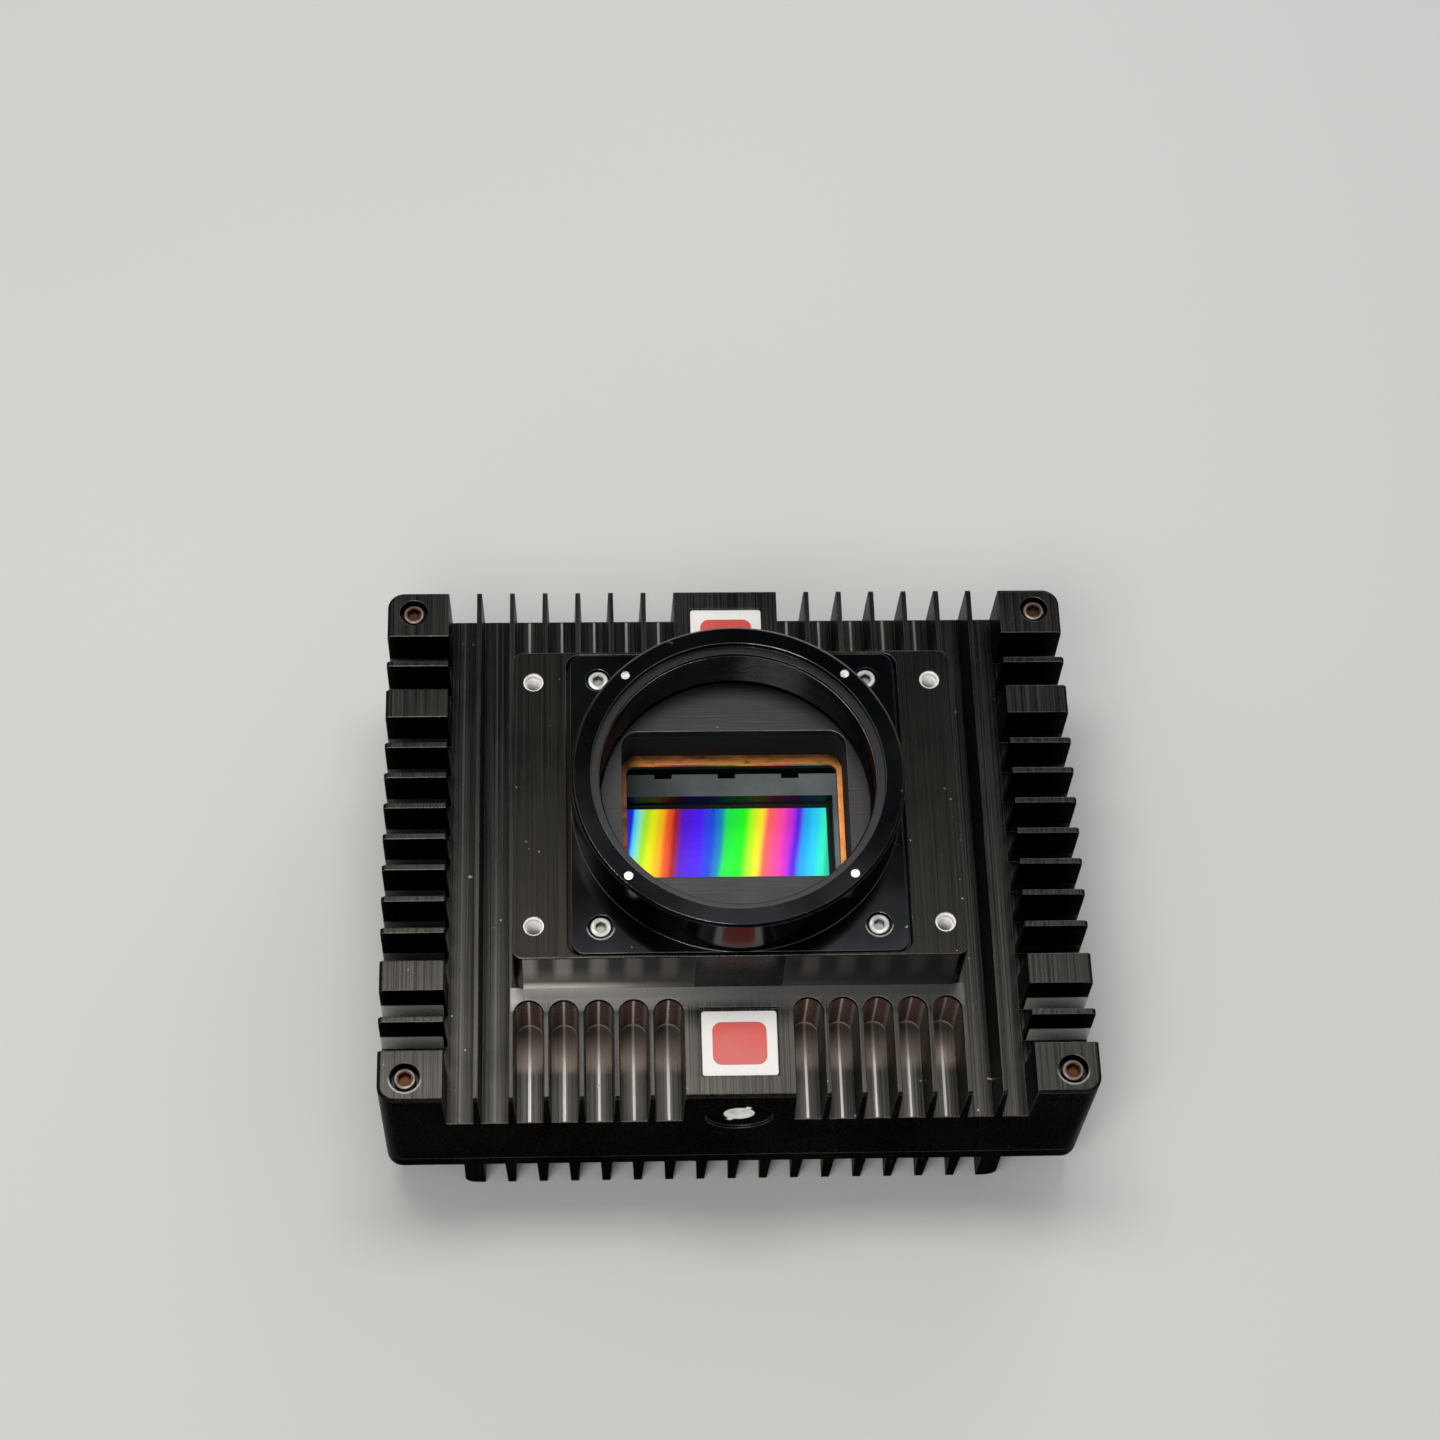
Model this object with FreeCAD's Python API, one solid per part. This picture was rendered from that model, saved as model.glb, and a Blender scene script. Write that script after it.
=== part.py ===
"""Large-format machine vision camera, lens axis up, standing on the tips of its rear fins.

Frame: millimetres, +Z up along the lens axis, +X to the right, -Y to the front.
The origin is the middle of the footprint, on the surface that the fin tips stand on.
Each function returns one sub-part, and the table at the end writes one STEP per sub-part.
"""
import FreeCAD, Part
import math
import os

V = FreeCAD.Vector
UP = V(0, 0, 1)

# ---- Levels along the lens axis --------------------------------------------------------
FIN_H = 14.5                      # rear fins, from the surface up to the cover plate
COVER_T = 5.0                     # rear cover plate
SEAM_Z = FIN_H + COVER_T          # joint between cover and housing
RIDGE_Z = SEAM_Z + 43.5           # top of the cooling ribs and corner bosses
RIB_DEPTH = 17.2                  # milled slots between the ribs
FLOOR_Z = RIDGE_Z - RIB_DEPTH
PLATFORM_Z = RIDGE_Z + 20.0       # raised block that carries the lens mount
RING_Z = PLATFORM_Z + 15.9        # front face of the lens mount ring
SENSOR_Z = RIDGE_Z - 28.0         # image plane

# ---- Body outline -----------------------------------------------------------------------
BODY_X, BODY_Y = 185.0, 148.0
BODY_R = 4.5
EDGE = 0.8                        # edge break on the front of the body

# ---- Milled slots -----------------------------------------------------------------------
PITCH = 9.0
RIB_T = 1.3                       # rib thickness at its top
SLOT_W = PITCH - RIB_T
SLOT_DRAFT = 0.4                  # each slot wall leans in by this much at the floor
SHORT_END_Y = 46.9                # closed round end of the short slots
LONG_SLOTS = (-8, -7, 7, 8)       # slot numbers, counted from the middle
SHORT_SLOTS = (-6, -5, -4, -3, -2, 2, 3, 4, 5, 6)
BLOCK_HALF_X = 1.5 * PITCH + RIB_T / 2      # centre block between the short slots
SIDE_INNER_X = 8.5 * PITCH - RIB_T / 2      # inner end of the side blades
SIDE_FIN_T = 1.5
SIDE_FINS_Y = (0.0, 9.0, 18.0, 27.0)
SIDE_BLOCK_Y = (35.5, 43.8)
SIDE_OUTER_FIN_Y = 51.8
BOSS_Y = 60.3                     # corner bosses begin here

# ---- Platform and lens mount ------------------------------------------------------------
PLATFORM_X, PLATFORM_Y = 115.7, 87.6
PLATFORM_R = 2.7
FLANGE = 85.5                     # square base of the lens mount
FLANGE_R = 3.2
FLANGE_T = 5.2
FLANGE_PROUD = 0.2
POCKET_X, POCKET_Y = 87.7, 86.2   # seat of the flange
POCKET_Z = PLATFORM_Z + FLANGE_PROUD - FLANGE_T
RING_R = 42.7
RECESS_R, RECESS_DEPTH = 37.7, 2.0
THREAD_R = 35.6                   # M72 x 0.75 core radius
SEAT_R, SEAT_SIDES = 36.6, 24      # relief behind the thread, round the baffle plate
RIM_SCREW_PCR = 40.2
RIM_SCREW_R = 1.15
MOUNT_SCREW_XY = 35.4
INSERT_X, INSERT_Y = 52.4, 35.0   # threaded inserts for a front plate
INSERT_R, INSERT_CORE_R, INSERT_L = 2.65, 2.1, 10.0

# ---- Light well and sensor --------------------------------------------------------------
BAFFLE_R, BAFFLE_T = 35.2, 3.3
WELL_X, WELL_Y, WELL_R = 59.0, 42.0, 4.5
FRAME_Z = RIDGE_Z + 4.5           # top of the copper frame
FRAME_T = 1.0
FRAME_OPEN_X, FRAME_OPEN_Y = 56.0, 36.2
LEDGE_Z = FRAME_Z - 2.5           # underside of the ledge that carries the frame
CHAMBER_X, CHAMBER_Y = 84.0, 66.0
CAVITY_X, CAVITY_Y = 158.0, 132.0
CAVITY_Z = FLOOR_Z - 4.0          # ceiling of the electronics space
CARRIER_X, CARRIER_Y = 80.0, 56.8
CARRIER_Z = RIDGE_Z - 22.0
CARRIER_OPEN_X, CARRIER_OPEN_Y = 58.0, 43.4
NOTCH_W, NOTCH_D, NOTCH_PITCH = 4.8, 1.3, 17.5
PACKAGE_X, PACKAGE_Y = 66.0, 52.0
PACKAGE_OPEN_X, PACKAGE_OPEN_Y = 56.6, 42.8
DIE_X, DIE_Y, DIE_T = 55.2, 41.4, 0.8
GLASS_X, GLASS_Y, GLASS_T = 62.0, 48.0, 0.8
BOARD_T = 1.6
SENSOR_BOARD_Z = SENSOR_Z - DIE_T - 1.7     # top face of the sensor board

# ---- Screws: shank radius, head radius, head height, socket across flats ------------------
COVER_SCREW = (1.75, 2.85, 3.5, 3.2)
M3 = (1.5, 2.75, 3.0, 2.5)
M3_LOW = (1.5, 2.75, 1.8, 2.0)
SHANK_SIDES = 8                   # hidden shanks and their holes have few faces
SMALL_SIDES = 16                  # small round parts that repeat
SLOT_END_SIDES = 20               # a whole turn of the cutter at a slot's closed end
CORNER_SCREW = (85.4, 67.6)
CORNER_BORE_R, CORNER_BORE_DEPTH = 3.9, 4.4
MOUNT_BORE_R, MOUNT_BORE_DEPTH = 3.25, 3.2
CORNER_SCREW_END_Z = FIN_H + 0.5
MOUNT_SCREW_END_Z = 70.0

# ---- Tripod thread in the front wall ------------------------------------------------------
TRIPOD_Z = 48.6
SPOTFACE_R, SPOTFACE_DEPTH = 8.8, 0.8
TRIPOD_R, TRIPOD_CORE_R, TRIPOD_L = 4.0, 2.6, 12.0
KEY_W, KEY_REACH, KEY_L, KEY_ANGLE = 1.5, 5.2, 4.0, 60.0

# ---- Label pockets --------------------------------------------------------------------------
LABEL_POCKET_X, LABEL_POCKET_Y, LABEL_POCKET_D = 20.0, 18.8, 1.0
LABEL_MID_Y = 58.9
LABEL_X, LABEL_Y, LABEL_T = 19.4, 17.7, 0.5
LABEL_SHIFT = 0.4                 # the label sits nearer the outer edge of its pocket

# ---- Rear fins and connector bay ------------------------------------------------------------
REAR_PITCH = 8.5
REAR_FINS = 7                     # on each side of the middle one
REAR_ROOT_T, REAR_TIP_T = 3.2, 2.1
END_FIN_X = (66.6, 72.0)
END_FIN_R = 3.5
BAY_FINS = 4                      # fins on each side of the middle that stop at the bay
BAY_Y = -14.0

# ---- Electronics --------------------------------------------------------------------------
SENSOR_BOARD_X, SENSOR_BOARD_Y = 102.0, 92.0
SPREADER_X, SPREADER_Y, SPREADER_T = 80.0, 82.0, 2.5
PAD_T = 1.0
STANDOFF_XY = (46.0, 37.0)
STANDOFF_FLATS = 6.0
LINK_X, LINK_Y, LINK_MID_Y = 40.0, 4.2, 43.6
PROC_BOARD_X, PROC_BOARD_Y = 144.0, 120.0
POST_H = 3.9
POST_XY = (66.0, 54.0)
POST_FLATS = 7.0
CHIP, CHIP_T, CHIP_XY = 38.0, 2.4, ((-30.0, -30.0), (30.0, -30.0))
PROC_Z = SEAM_Z + POST_H          # underside of the processor board

# ---- Rear connectors ------------------------------------------------------------------------
COAX_XY = ((-27.0, 14.0), (-9.0, 14.0), (9.0, 14.0), (27.0, 14.0))
COAX_R, COAX_BORE_R, COAX_TIP_Z = 4.8, 3.9, 3.5
SOCKET_DEPTH = 6.0
POWER_XY = (14.0, 42.0)
POWER_R, POWER_BORE_R, POWER_TIP_Z = 7.0, 5.7, 3.5
POWER_FLANGE_R = 9.5
LIGHT_XY = (-14.0, 42.0)
LIGHT_R, LIGHT_PROUD = 1.6, 0.8


# ---- Small helpers ----------------------------------------------------------------------------
def box(x0, x1, y0, y1, z0, z1):
    """Box between two corners."""
    return Part.makeBox(x1 - x0, y1 - y0, z1 - z0, V(x0, y0, z0))


def block(size_x, size_y, z0, z1, at=(0.0, 0.0)):
    """Box centred on a point of the XY plane."""
    return box(at[0] - size_x / 2, at[0] + size_x / 2, at[1] - size_y / 2, at[1] + size_y / 2, z0, z1)


def rod(at, r, z0, z1):
    """Upright cylinder."""
    return Part.makeCylinder(r, z1 - z0, V(at[0], at[1], z0), UP)


def prism(at, r, sides, z0, z1):
    """Upright regular prism with its corners at radius r."""
    turns = [2 * math.pi * k / sides for k in range(sides + 1)]
    wire = Part.makePolygon([V(at[0] + r * math.cos(a), at[1] + r * math.sin(a), z0) for a in turns])
    return Part.Face(wire).extrude(V(0, 0, z1 - z0))


def hexagon(flats, z0, z1, at=(0.0, 0.0)):
    """Hexagonal prism across flats."""
    return prism(at, flats / math.sqrt(3), 6, z0, z1)


def peg(at, r, z0, z1):
    """Small round part that repeats, or the hole that takes it."""
    return prism(at, r, SMALL_SIDES, z0, z1)


def tapered_peg(at, low_r, high_r, z0, z1, sides):
    """Frustum whose flats are tangent to the two radii, with two of them facing -X and +X."""
    rings = []
    for r, z in ((low_r, z0), (high_r, z1)):
        turns = [2 * math.pi * (k + 0.5) / sides for k in range(sides)]
        reach = r / math.cos(math.pi / sides)
        rings.append([V(at[0] + reach * math.cos(a), at[1] + reach * math.sin(a), z) for a in turns])
    low, high = rings
    walls = [Part.makePolygon([low[k - 1], low[k], high[k], high[k - 1], low[k - 1]]) for k in range(sides)]
    ends = [Part.makePolygon(ring + ring[:1]) for ring in rings]
    return Part.makeSolid(Part.makeShell([Part.Face(wire) for wire in walls + ends]))


def shank(at, r, z0, z1):
    """Hidden screw shank, or the hole that takes it."""
    return prism(at, r, SHANK_SIDES, z0, z1)


def plate(size_x, size_y, r, z0, z1, at=(0.0, 0.0)):
    """Plate with rounded corners, drawn as four lines and four arcs."""
    hx, hy = size_x / 2, size_y / 2
    mid = r * (1 - math.sqrt(0.5))
    edges = []
    for k, (sx, sy) in enumerate(((1, 1), (-1, 1), (-1, -1), (1, -1))):
        flat_x = V(sx * (hx - r), sy * hy, 0)
        flat_y = V(sx * hx, sy * (hy - r), 0)
        corner = V(sx * (hx - mid), sy * (hy - mid), 0)
        first, last = (flat_y, flat_x) if k % 2 == 0 else (flat_x, flat_y)
        if edges:
            edges.append(Part.LineSegment(edges[-1].Vertexes[-1].Point, first).toShape())
        edges.append(Part.Arc(first, corner, last).toShape())
    edges.append(Part.LineSegment(edges[-1].Vertexes[-1].Point, edges[0].Vertexes[0].Point).toShape())
    face = Part.Face(Part.Wire(edges))
    face.translate(V(at[0], at[1], z0))
    return face.extrude(V(0, 0, z1 - z0))


def frame(size, opening, r_out, r_in, z0, z1):
    """Rounded plate with a rounded opening in its middle."""
    return plate(*size, r_out, z0, z1).cut(plate(*opening, r_in, z0 - 1, z1 + 1))


def turned(points, at=(0.0, 0.0)):
    """Solid turned about an upright axis from (radius, height) points."""
    wire = Part.makePolygon([V(r, 0, z) for r, z in points] + [V(points[0][0], 0, points[0][1])])
    solid = Part.Face(wire).revolve(V(0, 0, 0), UP, 360)
    solid.translate(V(at[0], at[1], 0))
    return solid


def broken_edges(solid, z, size):
    """Chamfers the edges that lie at one height."""
    flat = [e for e in solid.Edges if abs(e.BoundBox.ZMin - z) < 1e-6 and abs(e.BoundBox.ZMax - z) < 1e-6]
    return solid.makeChamfer(size, flat)


def four(xy):
    """The four mirror images of a point."""
    x, y = xy
    return [(x, y), (-x, y), (-x, -y), (x, -y)]


def cut_all(solid, tools):
    for tool in tools:
        solid = solid.cut(tool)
    return solid


def joined(solid, parts):
    return solid.multiFuse(parts).removeSplitter()


def group(solids):
    """Several separate solids in one sub-part."""
    return Part.makeCompound(solids)


def cap_screw(at, size, head_z, end_z, head_up=True):
    """Socket-head screw whose head bears at head_z and whose shank ends at end_z."""
    shank_r, head_r, head_h, flats = size
    way = 1 if head_up else -1
    top = head_z + way * head_h
    bottom = top - way * 0.55 * head_h
    head = peg(at, head_r, min(head_z, top), max(head_z, top))
    head = head.cut(hexagon(flats, min(top + way, bottom), max(top + way, bottom), at))
    return head.fuse(shank(at, shank_r, min(head_z, end_z), max(head_z, end_z)))


def plain_screw(at, size, head_z, end_z):
    """Low-head screw out of sight, with its head below when the shank rises."""
    shank_r, head_r, head_h, _ = size
    way = 1 if end_z < head_z else -1
    head = prism(at, head_r, SHANK_SIDES, min(head_z, head_z + way * head_h), max(head_z, head_z + way * head_h))
    return head.fuse(shank(at, shank_r, min(head_z, end_z), max(head_z, end_z)))


# ---- Slot cutters -------------------------------------------------------------------------------
def slot_section(width):
    """Half widths of a slot at its floor and just above the ribs, and the two heights."""
    half_top = width / 2
    half_floor = half_top - SLOT_DRAFT
    over = 1.0
    half_over = half_top + SLOT_DRAFT * over / RIB_DEPTH
    return half_floor, half_over, FLOOR_Z, RIDGE_Z + over


def slot_along_y(x, y0, y1, round_end=None):
    """Tapered slot along Y. round_end closes it with the cutter's own radius."""
    floor, over, z0, z1 = slot_section(SLOT_W)
    section = Part.makePolygon([V(x - floor, y0, z0), V(x + floor, y0, z0), V(x + over, y0, z1),
                                V(x - over, y0, z1), V(x - floor, y0, z0)])
    tool = Part.Face(section).extrude(V(0, y1 - y0, 0))
    if round_end is None:
        return tool
    return tool.fuse(tapered_peg((x, round_end), floor, over, z0, z1, SLOT_END_SIDES))


def slot_along_x(x0, x1, y0, y1):
    """Tapered slot along X between two blades."""
    floor, over, z0, z1 = slot_section(y1 - y0)
    y = (y0 + y1) / 2
    section = Part.makePolygon([V(x0, y - floor, z0), V(x0, y + floor, z0), V(x0, y + over, z1),
                                V(x0, y - over, z1), V(x0, y - floor, z0)])
    return Part.Face(section).extrude(V(x1 - x0, 0, 0))


def rib_slots():
    """Slots on the front of the body: long and short ones along Y, side ones along X."""
    out = BODY_Y / 2 + 1
    tools = [slot_along_y(n * PITCH, -out, out) for n in LONG_SLOTS]
    centre_y = SHORT_END_Y + SLOT_W / 2
    for n in SHORT_SLOTS:
        tools.append(slot_along_y(n * PITCH, -out, -centre_y, -centre_y))
        tools.append(slot_along_y(n * PITCH, centre_y, out, centre_y))
    half_fin = SIDE_FIN_T / 2
    gaps = [(a + half_fin, b - half_fin) for a, b in zip(SIDE_FINS_Y, SIDE_FINS_Y[1:])]
    gaps.append((SIDE_FINS_Y[-1] + half_fin, SIDE_BLOCK_Y[0]))
    gaps.append((SIDE_BLOCK_Y[1], SIDE_OUTER_FIN_Y - half_fin))
    gaps.append((SIDE_OUTER_FIN_Y + half_fin, BOSS_Y))
    gaps += [(-b, -a) for a, b in gaps]
    for a, b in gaps:
        for x0, x1 in ((-BODY_X / 2 - 1, -SIDE_INNER_X + 2), (SIDE_INNER_X - 2, BODY_X / 2 + 1)):
            tools.append(slot_along_x(x0, x1, a, b))
    return tools


# ---- Body ---------------------------------------------------------------------------------------
def front_housing():
    """Milled housing: ribs, corner bosses, light chamber and electronics space."""
    body = plate(BODY_X, BODY_Y, BODY_R, SEAM_Z, RIDGE_Z)
    body = broken_edges(body, RIDGE_Z, EDGE)
    tools = rib_slots() + [
        block(CHAMBER_X, CHAMBER_Y, CAVITY_Z - 1, RIDGE_Z + 1),
        block(CAVITY_X, CAVITY_Y, SEAM_Z - 1, CAVITY_Z),
        Part.makeCylinder(SPOTFACE_R, SPOTFACE_DEPTH + 1, V(0, -BODY_Y / 2 - 1, TRIPOD_Z), V(0, 1, 0)),
        tripod_blank(TRIPOD_L + 2),
    ]
    for side in (-1, 1):
        pocket_at = (0.0, side * LABEL_MID_Y)
        tools.append(block(LABEL_POCKET_X, LABEL_POCKET_Y, RIDGE_Z - LABEL_POCKET_D, RIDGE_Z + 1, pocket_at))
    for at in four(CORNER_SCREW):
        tools.append(shank(at, COVER_SCREW[0] + 0.2, SEAM_Z - 1, RIDGE_Z))
        tools.append(peg(at, CORNER_BORE_R, RIDGE_Z - CORNER_BORE_DEPTH, RIDGE_Z + 1))
    tools += [shank(at, M3[0], CAVITY_Z - 1, CAVITY_Z + 6.7) for at in four(STANDOFF_XY)]
    return cut_all(body, tools)


def lens_platform():
    """Raised block on the housing, with the seat of the lens mount and the light well."""
    block_top = plate(PLATFORM_X, PLATFORM_Y, PLATFORM_R, RIDGE_Z, PLATFORM_Z)
    tools = [
        plate(POCKET_X, POCKET_Y, FLANGE_R + 0.5, POCKET_Z, PLATFORM_Z + 1),
        plate(WELL_X, WELL_Y, WELL_R, FRAME_Z - FRAME_T, POCKET_Z + 1),
        plate(FRAME_OPEN_X, FRAME_OPEN_Y, 2.0, LEDGE_Z - 1, FRAME_Z),
        block(CHAMBER_X, CHAMBER_Y, RIDGE_Z - 1, LEDGE_Z),
    ]
    tools += [shank(at, M3[0], MOUNT_SCREW_END_Z, PLATFORM_Z) for at in four((MOUNT_SCREW_XY, MOUNT_SCREW_XY))]
    tools += [peg(at, INSERT_R, PLATFORM_Z - INSERT_L - 0.2, PLATFORM_Z + 1) for at in four((INSERT_X, INSERT_Y))]
    return cut_all(block_top, tools)


def housing_gasket(z0, z1):
    """Rubber seal that fills the cover's groove, and the groove's own cutter."""
    outer = block(CAVITY_X + 6.0, CAVITY_Y + 6.0, z0, z1)
    return outer.cut(block(CAVITY_X + 3.0, CAVITY_Y + 3.0, z0 - 1, z1 + 1))


def rear_fin(x, y0, y1):
    """One fin with a tapered section."""
    half = [(REAR_ROOT_T / 2, FIN_H + 0.5), (REAR_TIP_T / 2, 0)]
    points = [V(x + dx, y0, z) for dx, z in half] + [V(x - dx, y0, z) for dx, z in reversed(half)]
    return Part.Face(Part.makePolygon(points + points[:1])).extrude(V(0, y1 - y0, 0))


def end_fin(side):
    """Outermost fin: thicker, with its outer tip corner rounded."""
    inner, outer = END_FIN_X
    r = END_FIN_R
    knee = V(outer - r * (1 - math.sqrt(0.5)), -BODY_Y / 2, r * (1 - math.sqrt(0.5)))
    a, b = V(outer, -BODY_Y / 2, r), V(outer - r, -BODY_Y / 2, 0)
    corners = [b, V(inner, -BODY_Y / 2, 0), V(inner, -BODY_Y / 2, FIN_H + 0.5),
               V(outer, -BODY_Y / 2, FIN_H + 0.5), a]
    lines = [Part.LineSegment(p, q).toShape() for p, q in zip(corners, corners[1:])]
    fin = Part.Face(Part.Wire(lines + [Part.Arc(a, knee, b).toShape()])).extrude(V(0, BODY_Y, 0))
    return fin if side > 0 else fin.mirror(V(0, 0, 0), V(1, 0, 0))


def rear_cover():
    """Cover plate with cooling fins outside, board posts inside and a bay for the connectors."""
    cover = plate(BODY_X, BODY_Y, BODY_R, FIN_H, SEAM_Z)
    parts = [end_fin(1), end_fin(-1)]
    for k in range(-REAR_FINS, REAR_FINS + 1):
        stop = BAY_Y if abs(k) <= BAY_FINS else BODY_Y / 2
        parts.append(rear_fin(k * REAR_PITCH, -BODY_Y / 2, stop))
    parts += [hexagon(POST_FLATS, SEAM_Z - 1, PROC_Z, at) for at in four(POST_XY)]
    cover = joined(cover, parts)
    tools = [housing_gasket(SEAM_Z - 1.4, SEAM_Z + 1)]
    tools += [shank(at, COVER_SCREW[0], CORNER_SCREW_END_Z, SEAM_Z + 1) for at in four(CORNER_SCREW)]
    tools += [shank(at, M3_LOW[0], FIN_H + 2, PROC_Z + 1) for at in four(POST_XY)]
    tools += [peg(at, COAX_R, FIN_H - 1, SEAM_Z + 1) for at in COAX_XY]
    tools += [peg(POWER_XY, POWER_R, FIN_H - 1, SEAM_Z + 1), peg(LIGHT_XY, LIGHT_R, FIN_H - 1, SEAM_Z + 1)]
    return cut_all(cover, tools)


# ---- Lens mount ---------------------------------------------------------------------------------
def lens_mount():
    """Square flange with a tall threaded ring for the lens."""
    top = PLATFORM_Z + FLANGE_PROUD
    base = plate(FLANGE, FLANGE, FLANGE_R, POCKET_Z, top)
    edge = 0.7
    ring = turned([(THREAD_R - 1, POCKET_Z), (RING_R, POCKET_Z), (RING_R, RING_Z - edge),
                   (RING_R - edge, RING_Z), (THREAD_R - 1, RING_Z)])
    bore = turned([(0, POCKET_Z - 1), (THREAD_R, POCKET_Z - 1), (THREAD_R, RING_Z - RECESS_DEPTH),
                   (RECESS_R, RING_Z - RECESS_DEPTH), (RECESS_R, RING_Z + 1), (0, RING_Z + 1)])
    seat = prism((0.0, 0.0), SEAT_R, SEAT_SIDES, POCKET_Z - 1, POCKET_Z + BAFFLE_T + 0.3)
    mount = base.fuse(ring).removeSplitter().cut(bore).cut(seat)
    for at in four((MOUNT_SCREW_XY, MOUNT_SCREW_XY)):
        mount = mount.cut(peg(at, MOUNT_BORE_R, top - MOUNT_BORE_DEPTH, top + 1))
        mount = mount.cut(shank(at, M3[0] + 0.2, POCKET_Z - 1, top))
    for at in rim_points():
        mount = mount.cut(peg(at, RIM_SCREW_R, RING_Z - 5.2, RING_Z + 1))
    return mount


def rim_points():
    reach = RIM_SCREW_PCR * math.sqrt(0.5)
    return four((reach, reach))


def rim_screws():
    """Grub screws that close the four small threads in the ring."""
    return group([peg(at, RIM_SCREW_R, RING_Z - 5.0, RING_Z - 0.1) for at in rim_points()])


def corner_screws():
    head_z = RIDGE_Z - CORNER_BORE_DEPTH
    return group([cap_screw(at, COVER_SCREW, head_z, CORNER_SCREW_END_Z) for at in four(CORNER_SCREW)])


def mount_screws():
    head_z = PLATFORM_Z + FLANGE_PROUD - MOUNT_BORE_DEPTH
    spots = four((MOUNT_SCREW_XY, MOUNT_SCREW_XY))
    return group([cap_screw(at, M3, head_z, MOUNT_SCREW_END_Z) for at in spots])


def mount_inserts():
    """Bright threaded inserts in the platform."""
    top = PLATFORM_Z - 0.2
    solids = []
    for at in four((INSERT_X, INSERT_Y)):
        sleeve = peg(at, INSERT_R, top - INSERT_L, top)
        solids.append(sleeve.cut(rod(at, INSERT_CORE_R, top - INSERT_L - 1, top + 1)))
    return group(solids)


def tripod_blank(length):
    """Outside of the tripod insert: a sleeve and the two keys that lock it."""
    face_y = -BODY_Y / 2 + SPOTFACE_DEPTH
    at, way = V(0, face_y, TRIPOD_Z), V(0, 1, 0)
    keys = box(-KEY_REACH, KEY_REACH, face_y, face_y + KEY_L, TRIPOD_Z - KEY_W / 2, TRIPOD_Z + KEY_W / 2)
    keys = keys.rotate(V(0, 0, TRIPOD_Z), way, -KEY_ANGLE)
    return Part.makeCylinder(TRIPOD_R, length, at, way).fuse(keys).removeSplitter()


def tripod_insert():
    """Key-locked thread insert, flush with the floor of its spotface."""
    at, way = V(0, -BODY_Y / 2 + SPOTFACE_DEPTH, TRIPOD_Z), V(0, 1, 0)
    insert = tripod_blank(TRIPOD_L)
    insert = insert.cut(Part.makeCylinder(TRIPOD_CORE_R, TRIPOD_L + 2, at - way, way))
    countersink = Part.makeCone(TRIPOD_CORE_R + 0.6, TRIPOD_CORE_R, 0.6, at, way)
    return insert.cut(countersink)


def label(side):
    """Thin label plate in its pocket, generic and unprinted."""
    at = (0.0, side * (LABEL_MID_Y + LABEL_SHIFT))
    z0 = RIDGE_Z - LABEL_POCKET_D
    return plate(LABEL_X, LABEL_Y, 0.8, z0, z0 + LABEL_T, at)


# ---- Light well and sensor ----------------------------------------------------------------------
def sensor_baffle():
    """Round baffle plate inside the mount, with the rectangular mouth of the light well."""
    top = POCKET_Z + BAFFLE_T
    disc = rod((0.0, 0.0), BAFFLE_R, POCKET_Z, top)
    return disc.cut(plate(WELL_X, WELL_Y, WELL_R, POCKET_Z - 1, top + 1))


def copper_frame():
    """Conductive frame at the foot of the well."""
    size = (WELL_X - 0.2, WELL_Y - 0.2)
    return frame(size, (FRAME_OPEN_X, FRAME_OPEN_Y), WELL_R - 0.1, 2.0, FRAME_Z - FRAME_T, FRAME_Z)


def sensor_carrier():
    """Frame that holds the sensor package down, with three notches in each long edge."""
    z0 = SENSOR_BOARD_Z
    carrier = block(CARRIER_X, CARRIER_Y, z0, CARRIER_Z)
    glass_top = SENSOR_Z + 1.0 + GLASS_T
    tools = [block(CARRIER_OPEN_X, CARRIER_OPEN_Y, z0 - 1, CARRIER_Z + 1),
             block(PACKAGE_X + 0.4, PACKAGE_Y + 0.4, z0 - 1, glass_top + 0.4)]
    for k in (-1, 0, 1):
        for side in (-1, 1):
            edge = side * CARRIER_Y / 2
            y0, y1 = sorted((edge - side * NOTCH_D, edge + side))
            x = k * NOTCH_PITCH
            tools.append(box(x - NOTCH_W / 2, x + NOTCH_W / 2, y0, y1, z0 - 1, CARRIER_Z + 1))
    return cut_all(carrier, tools)


def sensor_package():
    """Ceramic package: a base with a raised rim round the die."""
    rim_top = SENSOR_Z + 1.0
    body = block(PACKAGE_X, PACKAGE_Y, SENSOR_BOARD_Z, rim_top)
    return body.cut(block(PACKAGE_OPEN_X, PACKAGE_OPEN_Y, SENSOR_Z - DIE_T, rim_top + 1))


def sensor_die():
    return block(DIE_X, DIE_Y, SENSOR_Z - DIE_T, SENSOR_Z)


def cover_glass():
    z0 = SENSOR_Z + 1.0
    return block(GLASS_X, GLASS_Y, z0, z0 + GLASS_T)


# ---- Electronics --------------------------------------------------------------------------------
def board(size_x, size_y, z0, spots):
    """Circuit board with a screw hole at each spot."""
    body = block(size_x, size_y, z0, z0 + BOARD_T)
    return cut_all(body, [shank(at, M3_LOW[0], z0 - 1, z0 + BOARD_T + 1) for at in spots])


SENSOR_BOARD_LOW = SENSOR_BOARD_Z - BOARD_T
SPREADER_TOP = SENSOR_BOARD_LOW - PAD_T
SPREADER_LOW = SPREADER_TOP - SPREADER_T
PROC_TOP = PROC_Z + BOARD_T


def sensor_board():
    return board(SENSOR_BOARD_X, SENSOR_BOARD_Y, SENSOR_BOARD_LOW, four(STANDOFF_XY))


def sensor_pad():
    """Thermal pad between the sensor board and the heat spreader."""
    return block(60.0, 34.0, SPREADER_TOP, SENSOR_BOARD_LOW)


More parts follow.
